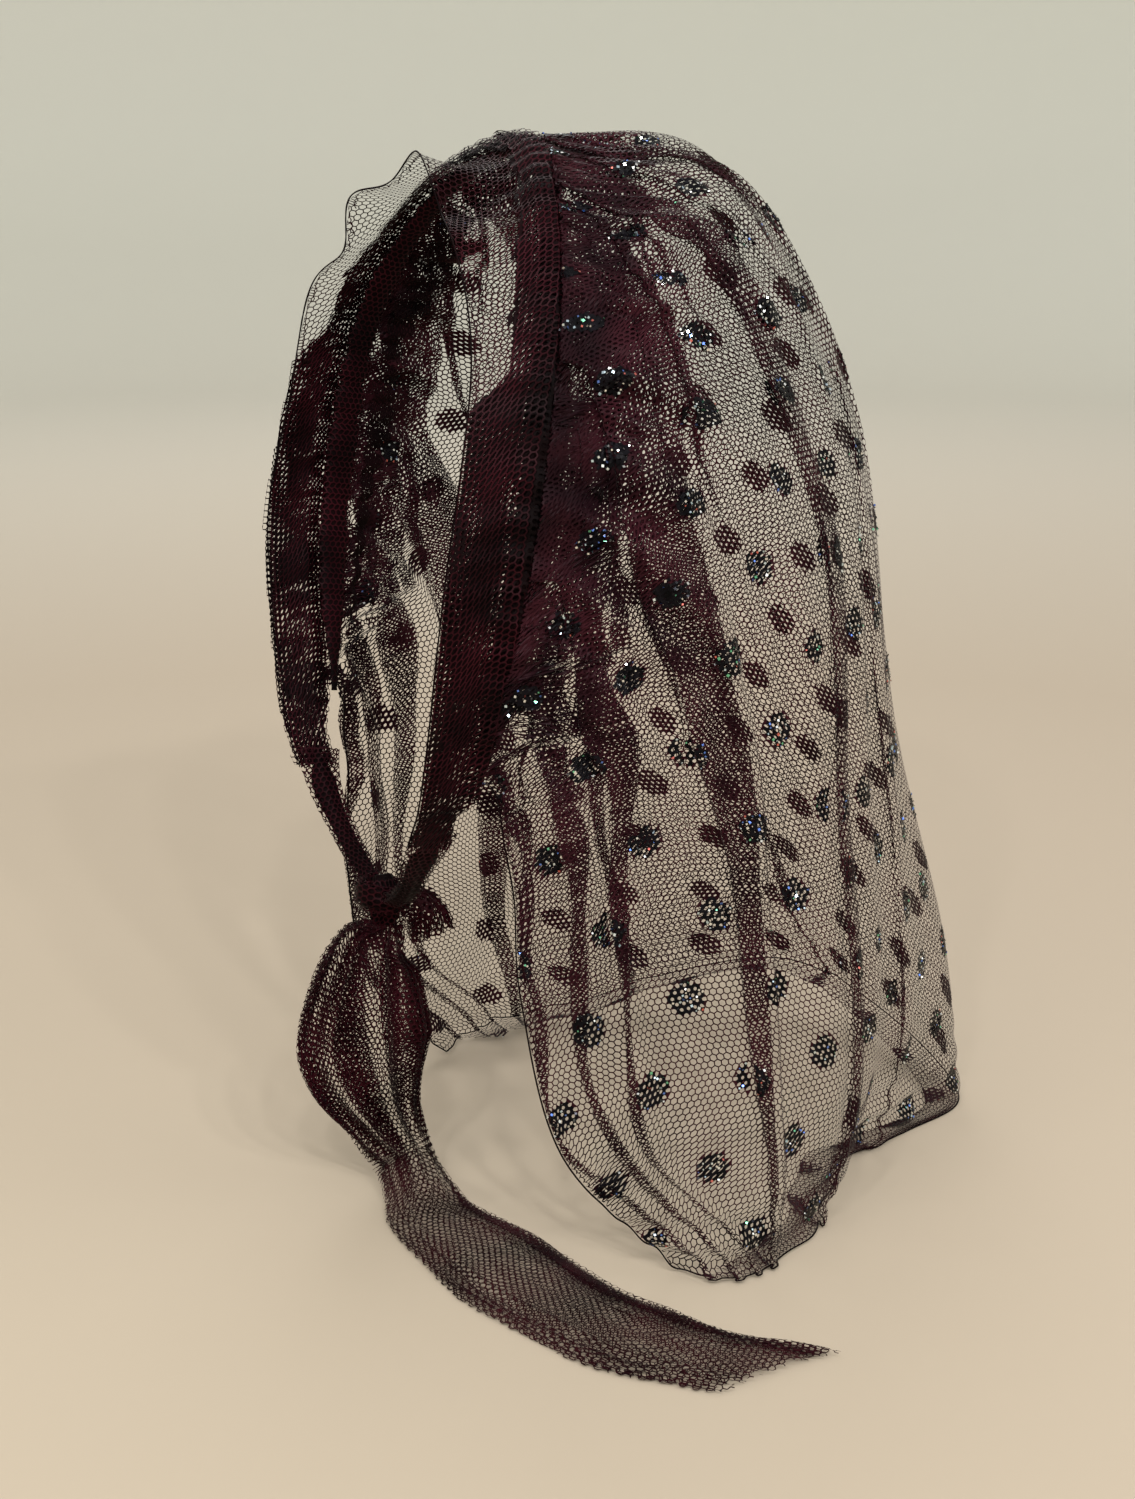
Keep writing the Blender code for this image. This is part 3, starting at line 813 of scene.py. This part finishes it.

# %% [markdown]
# ## The gathered seam
# Where the bag is gathered to the band, so many layers meet that they make a dark roll. Its core is
# a closed tube, ridged by the gathers, in a skin of net, and its colour is painted shade for the
# layers inside. The nets of the bag and the band lie over it.


# %% The roll
def seam_rings(places, turns, share):
    """Rings round the seam, drawn in by its gathers, at a share of its full size."""
    middle, across, normal, halves = seam_frame(places)
    drawn_in = 0.10 * np.abs(np.sin(places * 61 + 2.2 * np.sin(places * 7)))
    drawn_in = drawn_in + 0.07 * np.sin(places * 23 + 3 * np.sin(places * 5))
    size = (share - drawn_in) * (0.35 + 0.65 * fade(places / 0.5) * fade((8 - places) / 0.5))
    wide = (halves[:, 0] * size)[:, None] * np.cos(turns)
    high = ((halves[:, 1] - 0.5 * MM) * size)[:, None] * np.sin(turns)
    return middle[:, None] + across[:, None] * wide[..., None] + normal[:, None] * high[..., None]


core_turns = np.linspace(0, 2 * math.pi, 12, endpoint=False)[None]
core = seam_rings(np.linspace(0, 8, 420), core_turns, 0.82)
# The core stands for the mass of gathered net, coloured with painted shade.
tube("seam_core", core, "gathered_net", ["gathered_seam"], painted_shade_thread)

# %% Its skin of net
fine_places = np.linspace(0, 8, 4000)
seam_run = np.linalg.norm(np.diff(seam_frame(fine_places)[0], axis=0), axis=1).cumsum()
even_places = np.interp(np.arange(0, seam_run[-1], ROW_STEP), seam_run, fine_places[1:])
SKIN_TURNS = 240
skin = seam_rings(even_places, np.linspace(-math.pi, math.pi, SKIN_TURNS + 1)[None], 1.0)
skin_grid, skin_keep, _ = even_rows(skin, np.full(len(skin), SKIN_TURNS / 2), half_holes(0.025))
skin_keep[[0, -1]] = False
net_piece(
    "seam_net", skin_grid, skin_keep, np.full(skin_keep.shape, 1.3 * THREAD), plain_thread,
    "gathered_net", "gathered_seam",
)

# %% The allowance of the seam, which lies inside the bag
ALLOWANCE = 24 * MM
ALLOWANCE_SAMPLES = 2400


def allowance_paths():
    """Rows of net that run along the seam and lie a little inside the bag, out to a wavy edge."""
    places = np.linspace(0.1, 7.9, ALLOWANCE_SAMPLES)
    distances = np.arange(0, ALLOWANCE, ROW_STEP)[:, None]
    _, across, normal, halves = seam_frame(places)
    levels = np.broadcast_to(distances / LEVEL_UNIT, (len(distances), len(places)))
    points = surface(BAG, np.broadcast_to(places, levels.shape), levels)
    creased = 1.6 * MM * np.sin(places * 47 + 3 * np.sin(places * 3) + distances / (7 * MM))
    paths = points + normal * (creased - 1.8 * MM)[..., None]
    reach = ALLOWANCE * (0.8 + 0.2 * np.sin(places * 5 + 2 * np.sin(places * 2)))
    return paths, reach * fade(places / 1.4) * fade((8 - places) / 1.4) - distances


allowance_rows, to_edge = allowance_paths()
centre = np.full(len(allowance_rows), (ALLOWANCE_SAMPLES - 1) / 2)
allowance_grid, kept, (to_edge,) = even_rows(allowance_rows, centre, half_holes(0.3), (to_edge,))
kept = kept & (to_edge > 0)
kept[[0, -1]] = False
# The allowance is real net, coloured with painted shade for its place inside the bag.
net_piece(
    "seam_allowance", allowance_grid, kept, np.full(kept.shape, 1.6 * THREAD), painted_shade_thread,
    "gathered_net", "gathered_seam",
)

# %% [markdown]
# ## The band
# The band is plain net in several layers. One layer covers its whole width and ends in a ruffle at
# the top. Three more lie on it next to the seam, and lower down they cover all of it. Two of them are
# close net in the darker thread colour, which is painted shade for the layers over each other. Rows
# of net follow the band, a fixed step apart from the seam towards the free edge, so the ruffled edge
# gets the longer rows that it needs by itself.

# %% The band's layers
BAND_DIP = (0.5, 1, 1, 0.5, -2, -4)
DOUBLED = (  # place along the band, and how far from the seam the outer layers reach there, in mm
    (0, 60), (2.5, 60), (2.6, 30), (2.72, 17), (2.92, 5), (3.3, 6), (3.65, 5.5), (4, 4.5), (5, 5.5),
)
BAND_SAMPLES = 2400
BAND_HEM = 2.2 * MM  # turned under along the free edge


def band_edges(places):
    """The free edge and the seam edge of the band, at places 0 (near strap) to 10 (far strap)."""
    free = curve(both_sides(np.array(BAND_FREE_EDGE) * MM), places)
    middle, across, _, halves = seam_frame(np.arange(9))
    strap = np.array(STRAP_BACK_EDGE) * MM
    seam_side = middle - across * (halves[:, :1] + SEAM_GAP)
    return free, curve(np.concatenate([strap[None], seam_side, strap[None] * (-1, 1, 1)]), places)


def ruffle(places, share):
    """How far the free edge of the band waves out over the crown."""
    crown = np.sqrt(np.clip(1 - np.abs(places - 5) / 2.5, 0, 1))
    return crown * share**1.6 * np.sin(2 * math.pi * (places * 0.9 + 0.15 * np.sin(3 * places))) * 4.5 * MM


def band_layer(layer):
    """Rows of the band from the middle of the seam's roll to the free edge, and which points to keep."""
    places = np.linspace(0, 10, BAND_SAMPLES)
    free, back = band_edges(places)
    width = np.linalg.norm(free - back, axis=1)
    cloth_width = np.interp(np.clip(places, 1.3, 8.7), places, width)  # it is squeezed where it ends
    middle, across, seam_normal, halves = seam_frame(np.clip(places - 1, 0, 8))
    on_roll = fade((places - 0.6) / 0.4) * fade((9.4 - places) / 0.4)
    depth = (halves[:, 0] + SEAM_GAP) * on_roll
    distances = np.arange(-10 * MM, width.max() + BAND_HEM + ROW_STEP, ROW_STEP)[:, None]
    distances = distances + layer * 0.37 * ROW_STEP + 0.5 * layer * MM * np.sin(2.9 * places + 2.3 * layer)
    share = np.maximum(1 - np.abs(1 - np.maximum(distances / cloth_width, 0)), 0)
    flat = back + (free - back) * share[..., None]
    flat = flat + across * np.clip(-distances, 0, depth)[..., None]
    hump = halves[:, 1] * on_roll * np.exp(-1.2 * ((distances + depth) / (depth + 5 * MM)) ** 2)
    dip = curve(np.array(BAND_DIP + BAND_DIP[-2::-1]), places) * MM * 4 * share * (1 - share)
    phase = places * 38 + 2 * np.sin(5 * places + layer)
    tucks = 0.5 * MM * np.sin(phase) * fade(1 - distances / (16 * MM))
    slack = 0.7 * MM * np.sin(7.1 * places + 1.9 * layer + distances / (9 * MM))
    rise = hump * 1.1 + dip + ruffle(places, share) + tucks + slack * share + layer * 0.8 * MM
    rise = rise - 0.4 * MM * (distances > cloth_width)
    paths = flat + head_normal(flat) * rise[..., None]
    edge = cloth_width + BAND_HEM
    if layer:
        reach = np.interp(np.minimum(places, 10 - places), *np.transpose(DOUBLED)) * MM
        edge = np.minimum(cloth_width, reach + 0.7 * MM * np.sin(14 * places + layer))
    return paths, (edge - distances, distances + depth)


def band_net(name, layers, colour, thread):
    """One piece of net with one or more of the band's layers."""
    corners, faces, counted, first = [], [], [], 0
    for layer in layers:
        paths, extra = band_layer(layer)
        start = np.full(len(paths), (BAND_SAMPLES - 1) / 2)
        grid, inside, (to_edge, from_roll) = even_rows(paths, start, half_holes(0.34), extra)
        keep = inside & (to_edge > 0) & (from_roll > -0.5 * MM)
        keep[[0, -1]] = False
        width = np.full(keep.shape, thread)
        found, _ = net_faces(keep)
        corners.append(net_corners(grid, width).reshape(-1, 3))
        faces.append(found + first)
        first += len(corners[-1])
        counted.append(keep)
    piece = new_piece(name, np.concatenate(corners), np.concatenate(faces), "plain_net", "front_band")
    piece.data.materials.append(colour)
    keep = np.concatenate(counted)
    declare_net(piece, np.full(keep.shape, thread), keep)
    return piece


band_net("band_single", (0,), plain_thread, THREAD)
# The two lining layers are thicker net coloured with painted shade.
band_net("band_lining", (1, 2), painted_shade_thread, 2.2 * THREAD)
band_net("band_cover", (3,), plain_thread, 1.15 * THREAD)

# %% The thread along its free edge
rim_places = np.linspace(0, 10, 700)
rim, rim_back = band_edges(rim_places)
slack = 0.7 * MM * np.sin(7.1 * rim_places + np.linalg.norm(rim - rim_back, axis=1) / (9 * MM))
rim = rim + head_normal(rim) * (ruffle(rim_places, 1.0) + slack)[:, None]
thread_tube("band_rim", rim, RIM_THREAD, "plain_net", ["front_band"])

# %% [markdown]
# ## Ties and knot
# At each lower end the band goes on as a tie, squeezed into a bundle with lengthwise folds, to the
# knot that joins the two. Each bundle is a core in painted shade, dark as the folded net inside it
# would be, in a skin of real net. The core starts thin, so the band seems to gather into it.

# %% Bundles of net
KNOT = np.array((0, -50, -219.5)) * MM
KNOT_HALF = np.array((8.5, 7.5, 6.5)) * MM
TIE_HALF_WIDTH, TIE_HALF_THICKNESS = 4.2 * MM, 2.2 * MM
TIE_OVERLAP = 7 * MM  # how far a tie begins inside the band
BUNDLE_TURNS = 360


def bundle(name, path, wide, half_width, half_thickness, ridges, twist, replaced):
    """A core and a skin of net round a path; wide is the way across it at its start."""
    path = even_path(path, ROW_STEP)
    share = np.linspace(0, 1, len(path))[:, None]
    along = unit(np.gradient(path, axis=0))
    normal = unit(np.cross(along, wide))
    wide = np.cross(normal, along)
    turns = np.linspace(-math.pi, math.pi, BUNDLE_TURNS + 1)[None]
    fold = 1 + 0.16 * np.sin(ridges * turns + twist * share)
    fold = fold + 0.07 * np.sin((2 * ridges + 1) * turns - 3 * share)
    across = np.cos(turns) * np.interp(share, np.linspace(0, 1, len(half_width)), half_width)
    outward = np.sin(turns) * np.interp(share, np.linspace(0, 1, len(half_thickness)), half_thickness)
    rings = (
        path[:, None]
        + wide[:, None] * (across * fold)[..., None]
        + normal[:, None] * (outward * fold)[..., None]
    )
    taper = 0.66 * fade(share * 4)[..., None] + 0.04
    core = path[:, None] + (rings[:, :-1:12] - path[:, None]) * taper
    # The core is coloured with painted shade, the darker copy of the thread.
    tube(f"{name}_core", core, "plain_net", [replaced], painted_shade_thread)
    grid, inside, _ = even_rows(rings, np.full(len(rings), BUNDLE_TURNS / 2), half_holes(0.045))
    keep = inside.copy()
    keep[0] = keep[-1] = False
    net_piece(
        f"{name}_net", grid, keep, np.full(keep.shape, 1.35 * THREAD), plain_thread, "plain_net", replaced,
    )


def tie_path(side):
    """The middle of a tie from the band to the knot, and the way across the band's end."""
    free, back = band_edges(np.array([0.0, 0.2]))
    wide = unit(back[0] - free[0])
    out = (free[0] + back[0] - free[1] - back[1]) / 2
    out = unit(out - wide * (out @ wide))
    start = (free[0] + back[0]) / 2 - out * TIE_OVERLAP
    end = KNOT + np.array((KNOT_HALF[0] - 2 * MM, 0, 1.0 * MM))
    reach = np.linalg.norm(end - start) / 3
    handles = start, start + out * reach, end + unit(np.array((1.0, 0, 0.25))) * reach, end
    t = np.linspace(0, 1, 60)[:, None]
    path = sum(math.comb(3, k) * (1 - t) ** (3 - k) * t**k * handle for k, handle in enumerate(handles))
    return path * (side, 1, 1), wide * (side, 1, 1), np.linalg.norm(back[0] - free[0]) / 2


for name, side in (("left_tie", 1), ("right_tie", -1)):
    path, wide, end_half = tie_path(side)
    widths = end_half, 5.4 * MM, TIE_HALF_WIDTH, TIE_HALF_WIDTH, 3.6 * MM
    bundle(name, path, wide, widths, (1.6 * MM, TIE_HALF_THICKNESS, 2.6 * MM, 2.6 * MM), 6, 5 * side, name)

# %% The knot: one bundle runs upright through it and another is wrapped over it
climb = np.linspace(-1.8, 1, 50)
through_knot = KNOT + np.stack([np.cos(2 * climb), 0 * climb, 7.0 * climb], axis=1) * MM
swell = 4.4 * MM, 5.6 * MM, 6.4 * MM, 6.0 * MM, 3.6 * MM
bundle("knot_middle", through_knot, np.array((1.0, 0, 0)), swell, swell, 7, 3, "chin_knot")
round_knot = np.linspace(-0.15, 2.15, 60) * math.pi
wrap = np.stack([7.6 * np.cos(round_knot), 7.0 * np.sin(round_knot), 1.4 * np.cos(round_knot + 1.2)], axis=1)
swell = 4.2 * MM, 5.2 * MM, 4.2 * MM
bundle("knot_wrap", KNOT + wrap * MM, np.array((0.0, 0, 1)), swell, (2.2 * MM,) * 2, 5, 6, "chin_knot")

# %% [markdown]
# ## The free ends
# Below the knot the long end puffs out, then turns on the floor and lies across it. Its rows run
# across the strip. They curl round where it hangs, and their pleats are wide at the knot and nearly
# gone in the puff. The strip is double, and where it lies it is folded, so a third ply begins there.

# %% Tables of the two ends
LONG_TAIL = (  # x, y, z of the middle, half width, depth of curl (mm) and half angle of curl (degrees)
    (0, -51, -226.6, 4, 3, 120), (0, -51.6, -230, 7, 4.5, 120), (-1, -56, -240, 15, 9, 125),
    (-2, -58, -262, 21, 13, 130), (-2, -57, -276, 19, 12, 125), (-1, -52, -294, 12, 8, 110),
    (3, -46, -308, 10, 6, 80), (16, -45.5, -315, 12, 4, 60), (32, -47, -317, 15, 2, 40),
    (58, -42, -317, 19, 2, 35), (80, -38.5, -317, 20, 2, 35), (104, -32, -317, 18.5, 2.5, 35),
    (124, -23, -317, 19, 2, 35), (141, -10, -317, 16, 2, 40), (156, 4, -317, 17, 2, 35),
    (171, 18, -317, 17, 2, 35),
)
SHORT_TAIL = (
    (2, -42.6, -220.8, 3.5, 2.5, 130), (2, -38.5, -225, 6, 4, 130),
    (3, -36, -230, 7, 4, 125), (3, -34.5, -236, 6, 3, 120),
)
CUT_SLANT = 13 * MM
TAIL_SAMPLES = 900
TAIL_PLEATS = (  # middle across the strip (-1 to 1), width at the knot, in the puff, on the floor, mm proud
    (-0.85, 0.16, 0.15, 0.06, 1.0), (-0.64, 0.18, 0.17, 0.05, 1.6), (-0.42, 0.18, 0.19, 0.03, 2.2),
    (-0.17, 0.18, 0.19, 0.0, 2.4), (0.20, 0.16, 0.15, 0.0, 2.0), (0.50, 0.18, 0.06, 0.05, 1.6),
    (0.84, 0.18, 0.16, 0.26, 1.2),
)
PLEAT_RUN = (0, 14, 40, 80, 110)  # mm down the strip where the widths above are reached


def tail_folds(length, ply, fullness):
    """How far across the strip each sample of each row is, its height in mm, and each row's middle sample."""
    halves = []
    for side in (-1, 1):
        pleats = []
        for number, (middle, knot, puff, floor, proud) in enumerate(TAIL_PLEATS):
            if middle * side > 0:
                width = fullness * np.interp(length / MM, PLEAT_RUN, (knot, knot, puff, puff, floor))
                line = abs(middle) + 0.05 * np.sin(length / (17 * MM) + 2.1 * number + ply)
                pleats.append((line - width / 2, line + width / 2, proud * fade(width / 0.03)))
        none = np.zeros(len(length))
        halves.append(fold_over(pleats, none, none + 1, 0.03, 0.04))
    left, right = halves
    left[0] = -left[0]
    folds = [np.concatenate([one[:, :0:-1], other], axis=1) for one, other in zip(left, right)]
    (across, lifts, _), corners_at = sampled(folds, 22, TAIL_SAMPLES, 2)
    return across, lifts, corners_at[:, left[0].shape[1] - 1] * (TAIL_SAMPLES - 1)


def tail_rows(table, ply, fullness, wave_height, waves_across):
    """Rows across a strip that hangs curled, opens out and lies down.

    Also returned: how far down the strip each row is, how far across it each sample is (-1 to 1), and
    the sample in the middle of each row.
    """
    table = np.array(table, float)
    places = np.linspace(0, len(table) - 1, 2000)
    middle = curve(table, places)[:, :3] * MM
    run = np.concatenate([[0], np.linalg.norm(np.diff(middle, axis=0), axis=1).cumsum()])
    length = np.arange(0, run[-1], ROW_STEP)
    values = curve(table, np.interp(length, run, places))
    middle, half, depth = values[:, :3] * MM, values[:, 3:4] * MM, values[:, 4:5] * MM
    curl = np.radians(values[:, 5:6])
    along = unit(np.gradient(middle, axis=0))
    flat = np.stack([-along[:, 1], along[:, 0], 0 * along[:, 0]], axis=1)
    hanging = np.clip(-along[:, 2:3], 0, 1) ** 2
    wide = unit(flat * (1 - hanging) + np.array((0, 1, 0)) * hanging)
    wide = unit(wide - along * (wide * along).sum(axis=1, keepdims=True))
    outward = np.cross(along, wide)
    across, lifts, centre = tail_folds(length, ply, fullness)
    turn = across * curl
    width = np.sin(turn) / np.sin(np.minimum(curl, math.pi / 2)) * half
    bulge = (np.cos(turn) - np.cos(curl)) / (1 - np.cos(curl)) * depth
    phase = math.pi * waves_across * across + 1.3 * ply + 0.9 * np.sin(length[:, None] / (23 * MM) + ply)
    deep = wave_height * (0.15 + 0.85 * hanging)
    bulge = bulge + deep * np.sin(phase) + (lifts * (0.3 + 0.7 * hanging) - ply * 0.9) * MM
    bulge = bulge + 0.4 * MM * np.sin(9 * across + length[:, None] / (6 * MM))
    width = width + 0.5 * deep * np.cos(phase) * hanging
    rows = middle[:, None] + wide[:, None] * width[..., None] + outward[:, None] * bulge[..., None]
    lowest = FLOOR + (0.4 + 0.6 * ply + 0.4 * lifts + 0.3 * np.sin(phase)) * MM
    rows[..., 2] = np.maximum(rows[..., 2], np.maximum(lowest, FLOOR + 0.3 * MM))
    return rows, length, across, centre


def tail_net(name, table, ply_starts, thread, fullness, wave_height, waves_across, cut, slant):
    """A free end: its plies of net in one piece, cut off ragged and aslant at that far down it."""
    corners, faces, widths, counted, first = [], [], [], [], 0
    for ply, ply_start in enumerate(ply_starts):
        rows, length, across, centre = tail_rows(table, ply, fullness, wave_height, waves_across)
        grid, keep, (share,) = even_rows(rows, centre, half_holes(0.11), (across,))
        frayed = MM * (np.sin(share * 31 + 2 * ply) + 1.4 * np.sin(share * 83 + ply))
        keep = keep & (length[:, None] < cut + slant * share + frayed - 2 * MM * ply)
        keep = keep & (length[:, None] >= ply_start)
        keep[[0, -1]] = False
        found, _ = net_faces(keep)
        drawn_in = 1.25 - 0.25 * fade((length - 60 * MM) / (30 * MM))
        widths.append(np.broadcast_to(thread * drawn_in[:, None], keep.shape))
        corners.append(net_corners(grid, widths[-1]).reshape(-1, 3))
        faces.append(found + first)
        first += len(corners[-1])
        counted.append(keep)
    piece = new_piece(f"{name}_net", np.concatenate(corners), np.concatenate(faces), "plain_net", name)
    piece.data.materials.append(plain_thread)
    keep = np.concatenate(counted)
    declare_net(piece, np.concatenate(widths), keep)
    print(name, "is", round(length[-1] / MM), "mm long before it is cut")


def run_to(table, row):
    """How far down the strip a row of its table is."""
    points = curve(np.array(table, float), np.linspace(0, row, 2000))[:, :3] * MM
    return np.linalg.norm(np.diff(points, axis=0), axis=1).sum()


long_cut, short_cut = run_to(LONG_TAIL, 14), run_to(SHORT_TAIL, 3)
tail_net("long_tail", LONG_TAIL, (0, 0, 84 * MM), 1.0 * THREAD, 1.0, 3.0 * MM, 5, long_cut, CUT_SLANT)
tail_net("short_tail", SHORT_TAIL, (0, 0, 0), 1.45 * THREAD, 0.2, 1.4 * MM, 4, short_cut, 1 * MM)

# %% [markdown]
# ## Studio
# A round sweep of pale card carries the snood and curves up behind it on every side, so no horizon
# shows from any view. A large soft lamp stands at the upper left, two others fill the right and the
# back, and six small bright ones give the glitter its sparks.

# %% Floor and lights
def sweep(radius=2.4, bend=0.9, wall=1.4, sides=96):
    arc = np.linspace(0, math.pi / 2, 14)
    reach = np.concatenate([[0, radius / 2], radius + bend * np.sin(arc), [radius + bend]])
    rise = np.concatenate([[0, 0], bend * (1 - np.cos(arc)), [bend + wall]])
    angles = np.linspace(0, 2 * math.pi, sides, endpoint=False)
    x, y = np.outer(reach, np.cos(angles)), np.outer(reach, np.sin(angles))
    points = np.stack([x, y, np.broadcast_to(rise[:, None] + FLOOR, x.shape)], axis=-1)
    number = np.arange(x.size).reshape(x.shape)
    after = np.roll(number, -1, axis=1)
    quads = np.stack([number[:-1], after[:-1], after[1:], number[1:]], axis=-1).reshape(-1, 4)
    mesh = bpy.data.meshes.new("sweep")
    mesh.from_pydata(points.reshape(-1, 3).tolist(), [], quads.tolist())
    mesh.shade_smooth()
    card = bpy.data.objects.new("sweep", mesh)
    bpy.context.scene.collection.objects.link(card)
    return card


def pale_card():
    """Warm card underfoot that turns cooler and brighter further off, with faint mottling; the brightening is
    painted light, for less lamp light far off.
    """
    material = bpy.data.materials.new("pale_card")
    material.use_nodes = True
    nodes, links = material.node_tree.nodes, material.node_tree.links
    shader = nodes["Principled BSDF"]
    where, far_off = nodes.new("ShaderNodeTexCoord"), nodes.new("ShaderNodeVectorMath")
    spread, tone = nodes.new("ShaderNodeMapRange"), nodes.new("ShaderNodeTexNoise")
    ramp, mottle = nodes.new("ShaderNodeValToRGB"), nodes.new("ShaderNodeMix")
    far_off.operation = "LENGTH"
    spread.inputs["From Min"].default_value = CARD_TURNS[0]
    spread.inputs["From Max"].default_value = CARD_TURNS[1]
    tone.inputs["Scale"].default_value = 1.5
    ramp.color_ramp.elements[0].color = (*CARD_BELOW, 1)
    ramp.color_ramp.elements[1].color = (*CARD_ABOVE, 1)
    mottle.data_type, mottle.blend_type = "RGBA", "SOFT_LIGHT"
    mottle.inputs["Factor"].default_value = 0.08
    links.new(where.outputs["Object"], far_off.inputs[0])
    links.new(far_off.outputs["Value"], spread.inputs["Value"])
    links.new(spread.outputs["Result"], ramp.inputs["Fac"])
    links.new(ramp.outputs["Color"], mottle.inputs["A"])
    links.new(tone.outputs["Color"], mottle.inputs["B"])
    links.new(mottle.outputs["Result"], shader.inputs["Base Color"])
    shader.inputs["Roughness"].default_value = 0.9
    return material


# The far tone is a cooler wall colour and also painted light: brighter, to make up for the light that falls
# off away from the lamps.
CARD_BELOW, CARD_ABOVE = (0.45, 0.376, 0.285), (0.75, 0.75, 0.675)
CARD_TURNS = (0.8, 3.1)  # metres from the middle where it leaves the first tone and reaches the second
sweep().data.materials.append(pale_card())


SNOOD_MIDDLE = (0.02, 0.03, -0.16)


def lamp(name, place, size, power, colour=(1, 1, 1)):
    data = bpy.data.lights.new(name, "AREA")
    data.shape = "DISK"
    data.size, data.energy, data.color = size, power, colour
    light = bpy.data.objects.new(name, data)
    light.location = place
    x, y, z = np.array(SNOOD_MIDDLE) - np.array(place)
    light.rotation_euler = (math.atan2(math.hypot(x, y), -z), 0, math.atan2(y, x) - math.pi / 2)
    bpy.context.scene.collection.objects.link(light)


lamp("key", (0.9, -1.4, 1.5), 1.1, 10, (1.0, 0.97, 0.93))
lamp("fill", (1.3, 1.3, 1.0), 1.4, 7, (0.94, 0.97, 1.0))
lamp("back", (-1.5, 0.5, 1.3), 1.2, 12)
for k in range(6):
    lamp(f"spark_{k}", (1.0 + 0.12 * k, -0.85 + 0.2 * k, 0.8 + 0.1 * (k % 3)), 0.07, 4.5)
world = bpy.data.worlds.new("studio")
world.use_nodes = True
world.node_tree.nodes["Background"].inputs["Color"].default_value = (1.0, 0.98, 0.95, 1)
world.node_tree.nodes["Background"].inputs["Strength"].default_value = 0.68
bpy.context.scene.world = world
bpy.context.scene.view_settings.view_transform = "Standard"
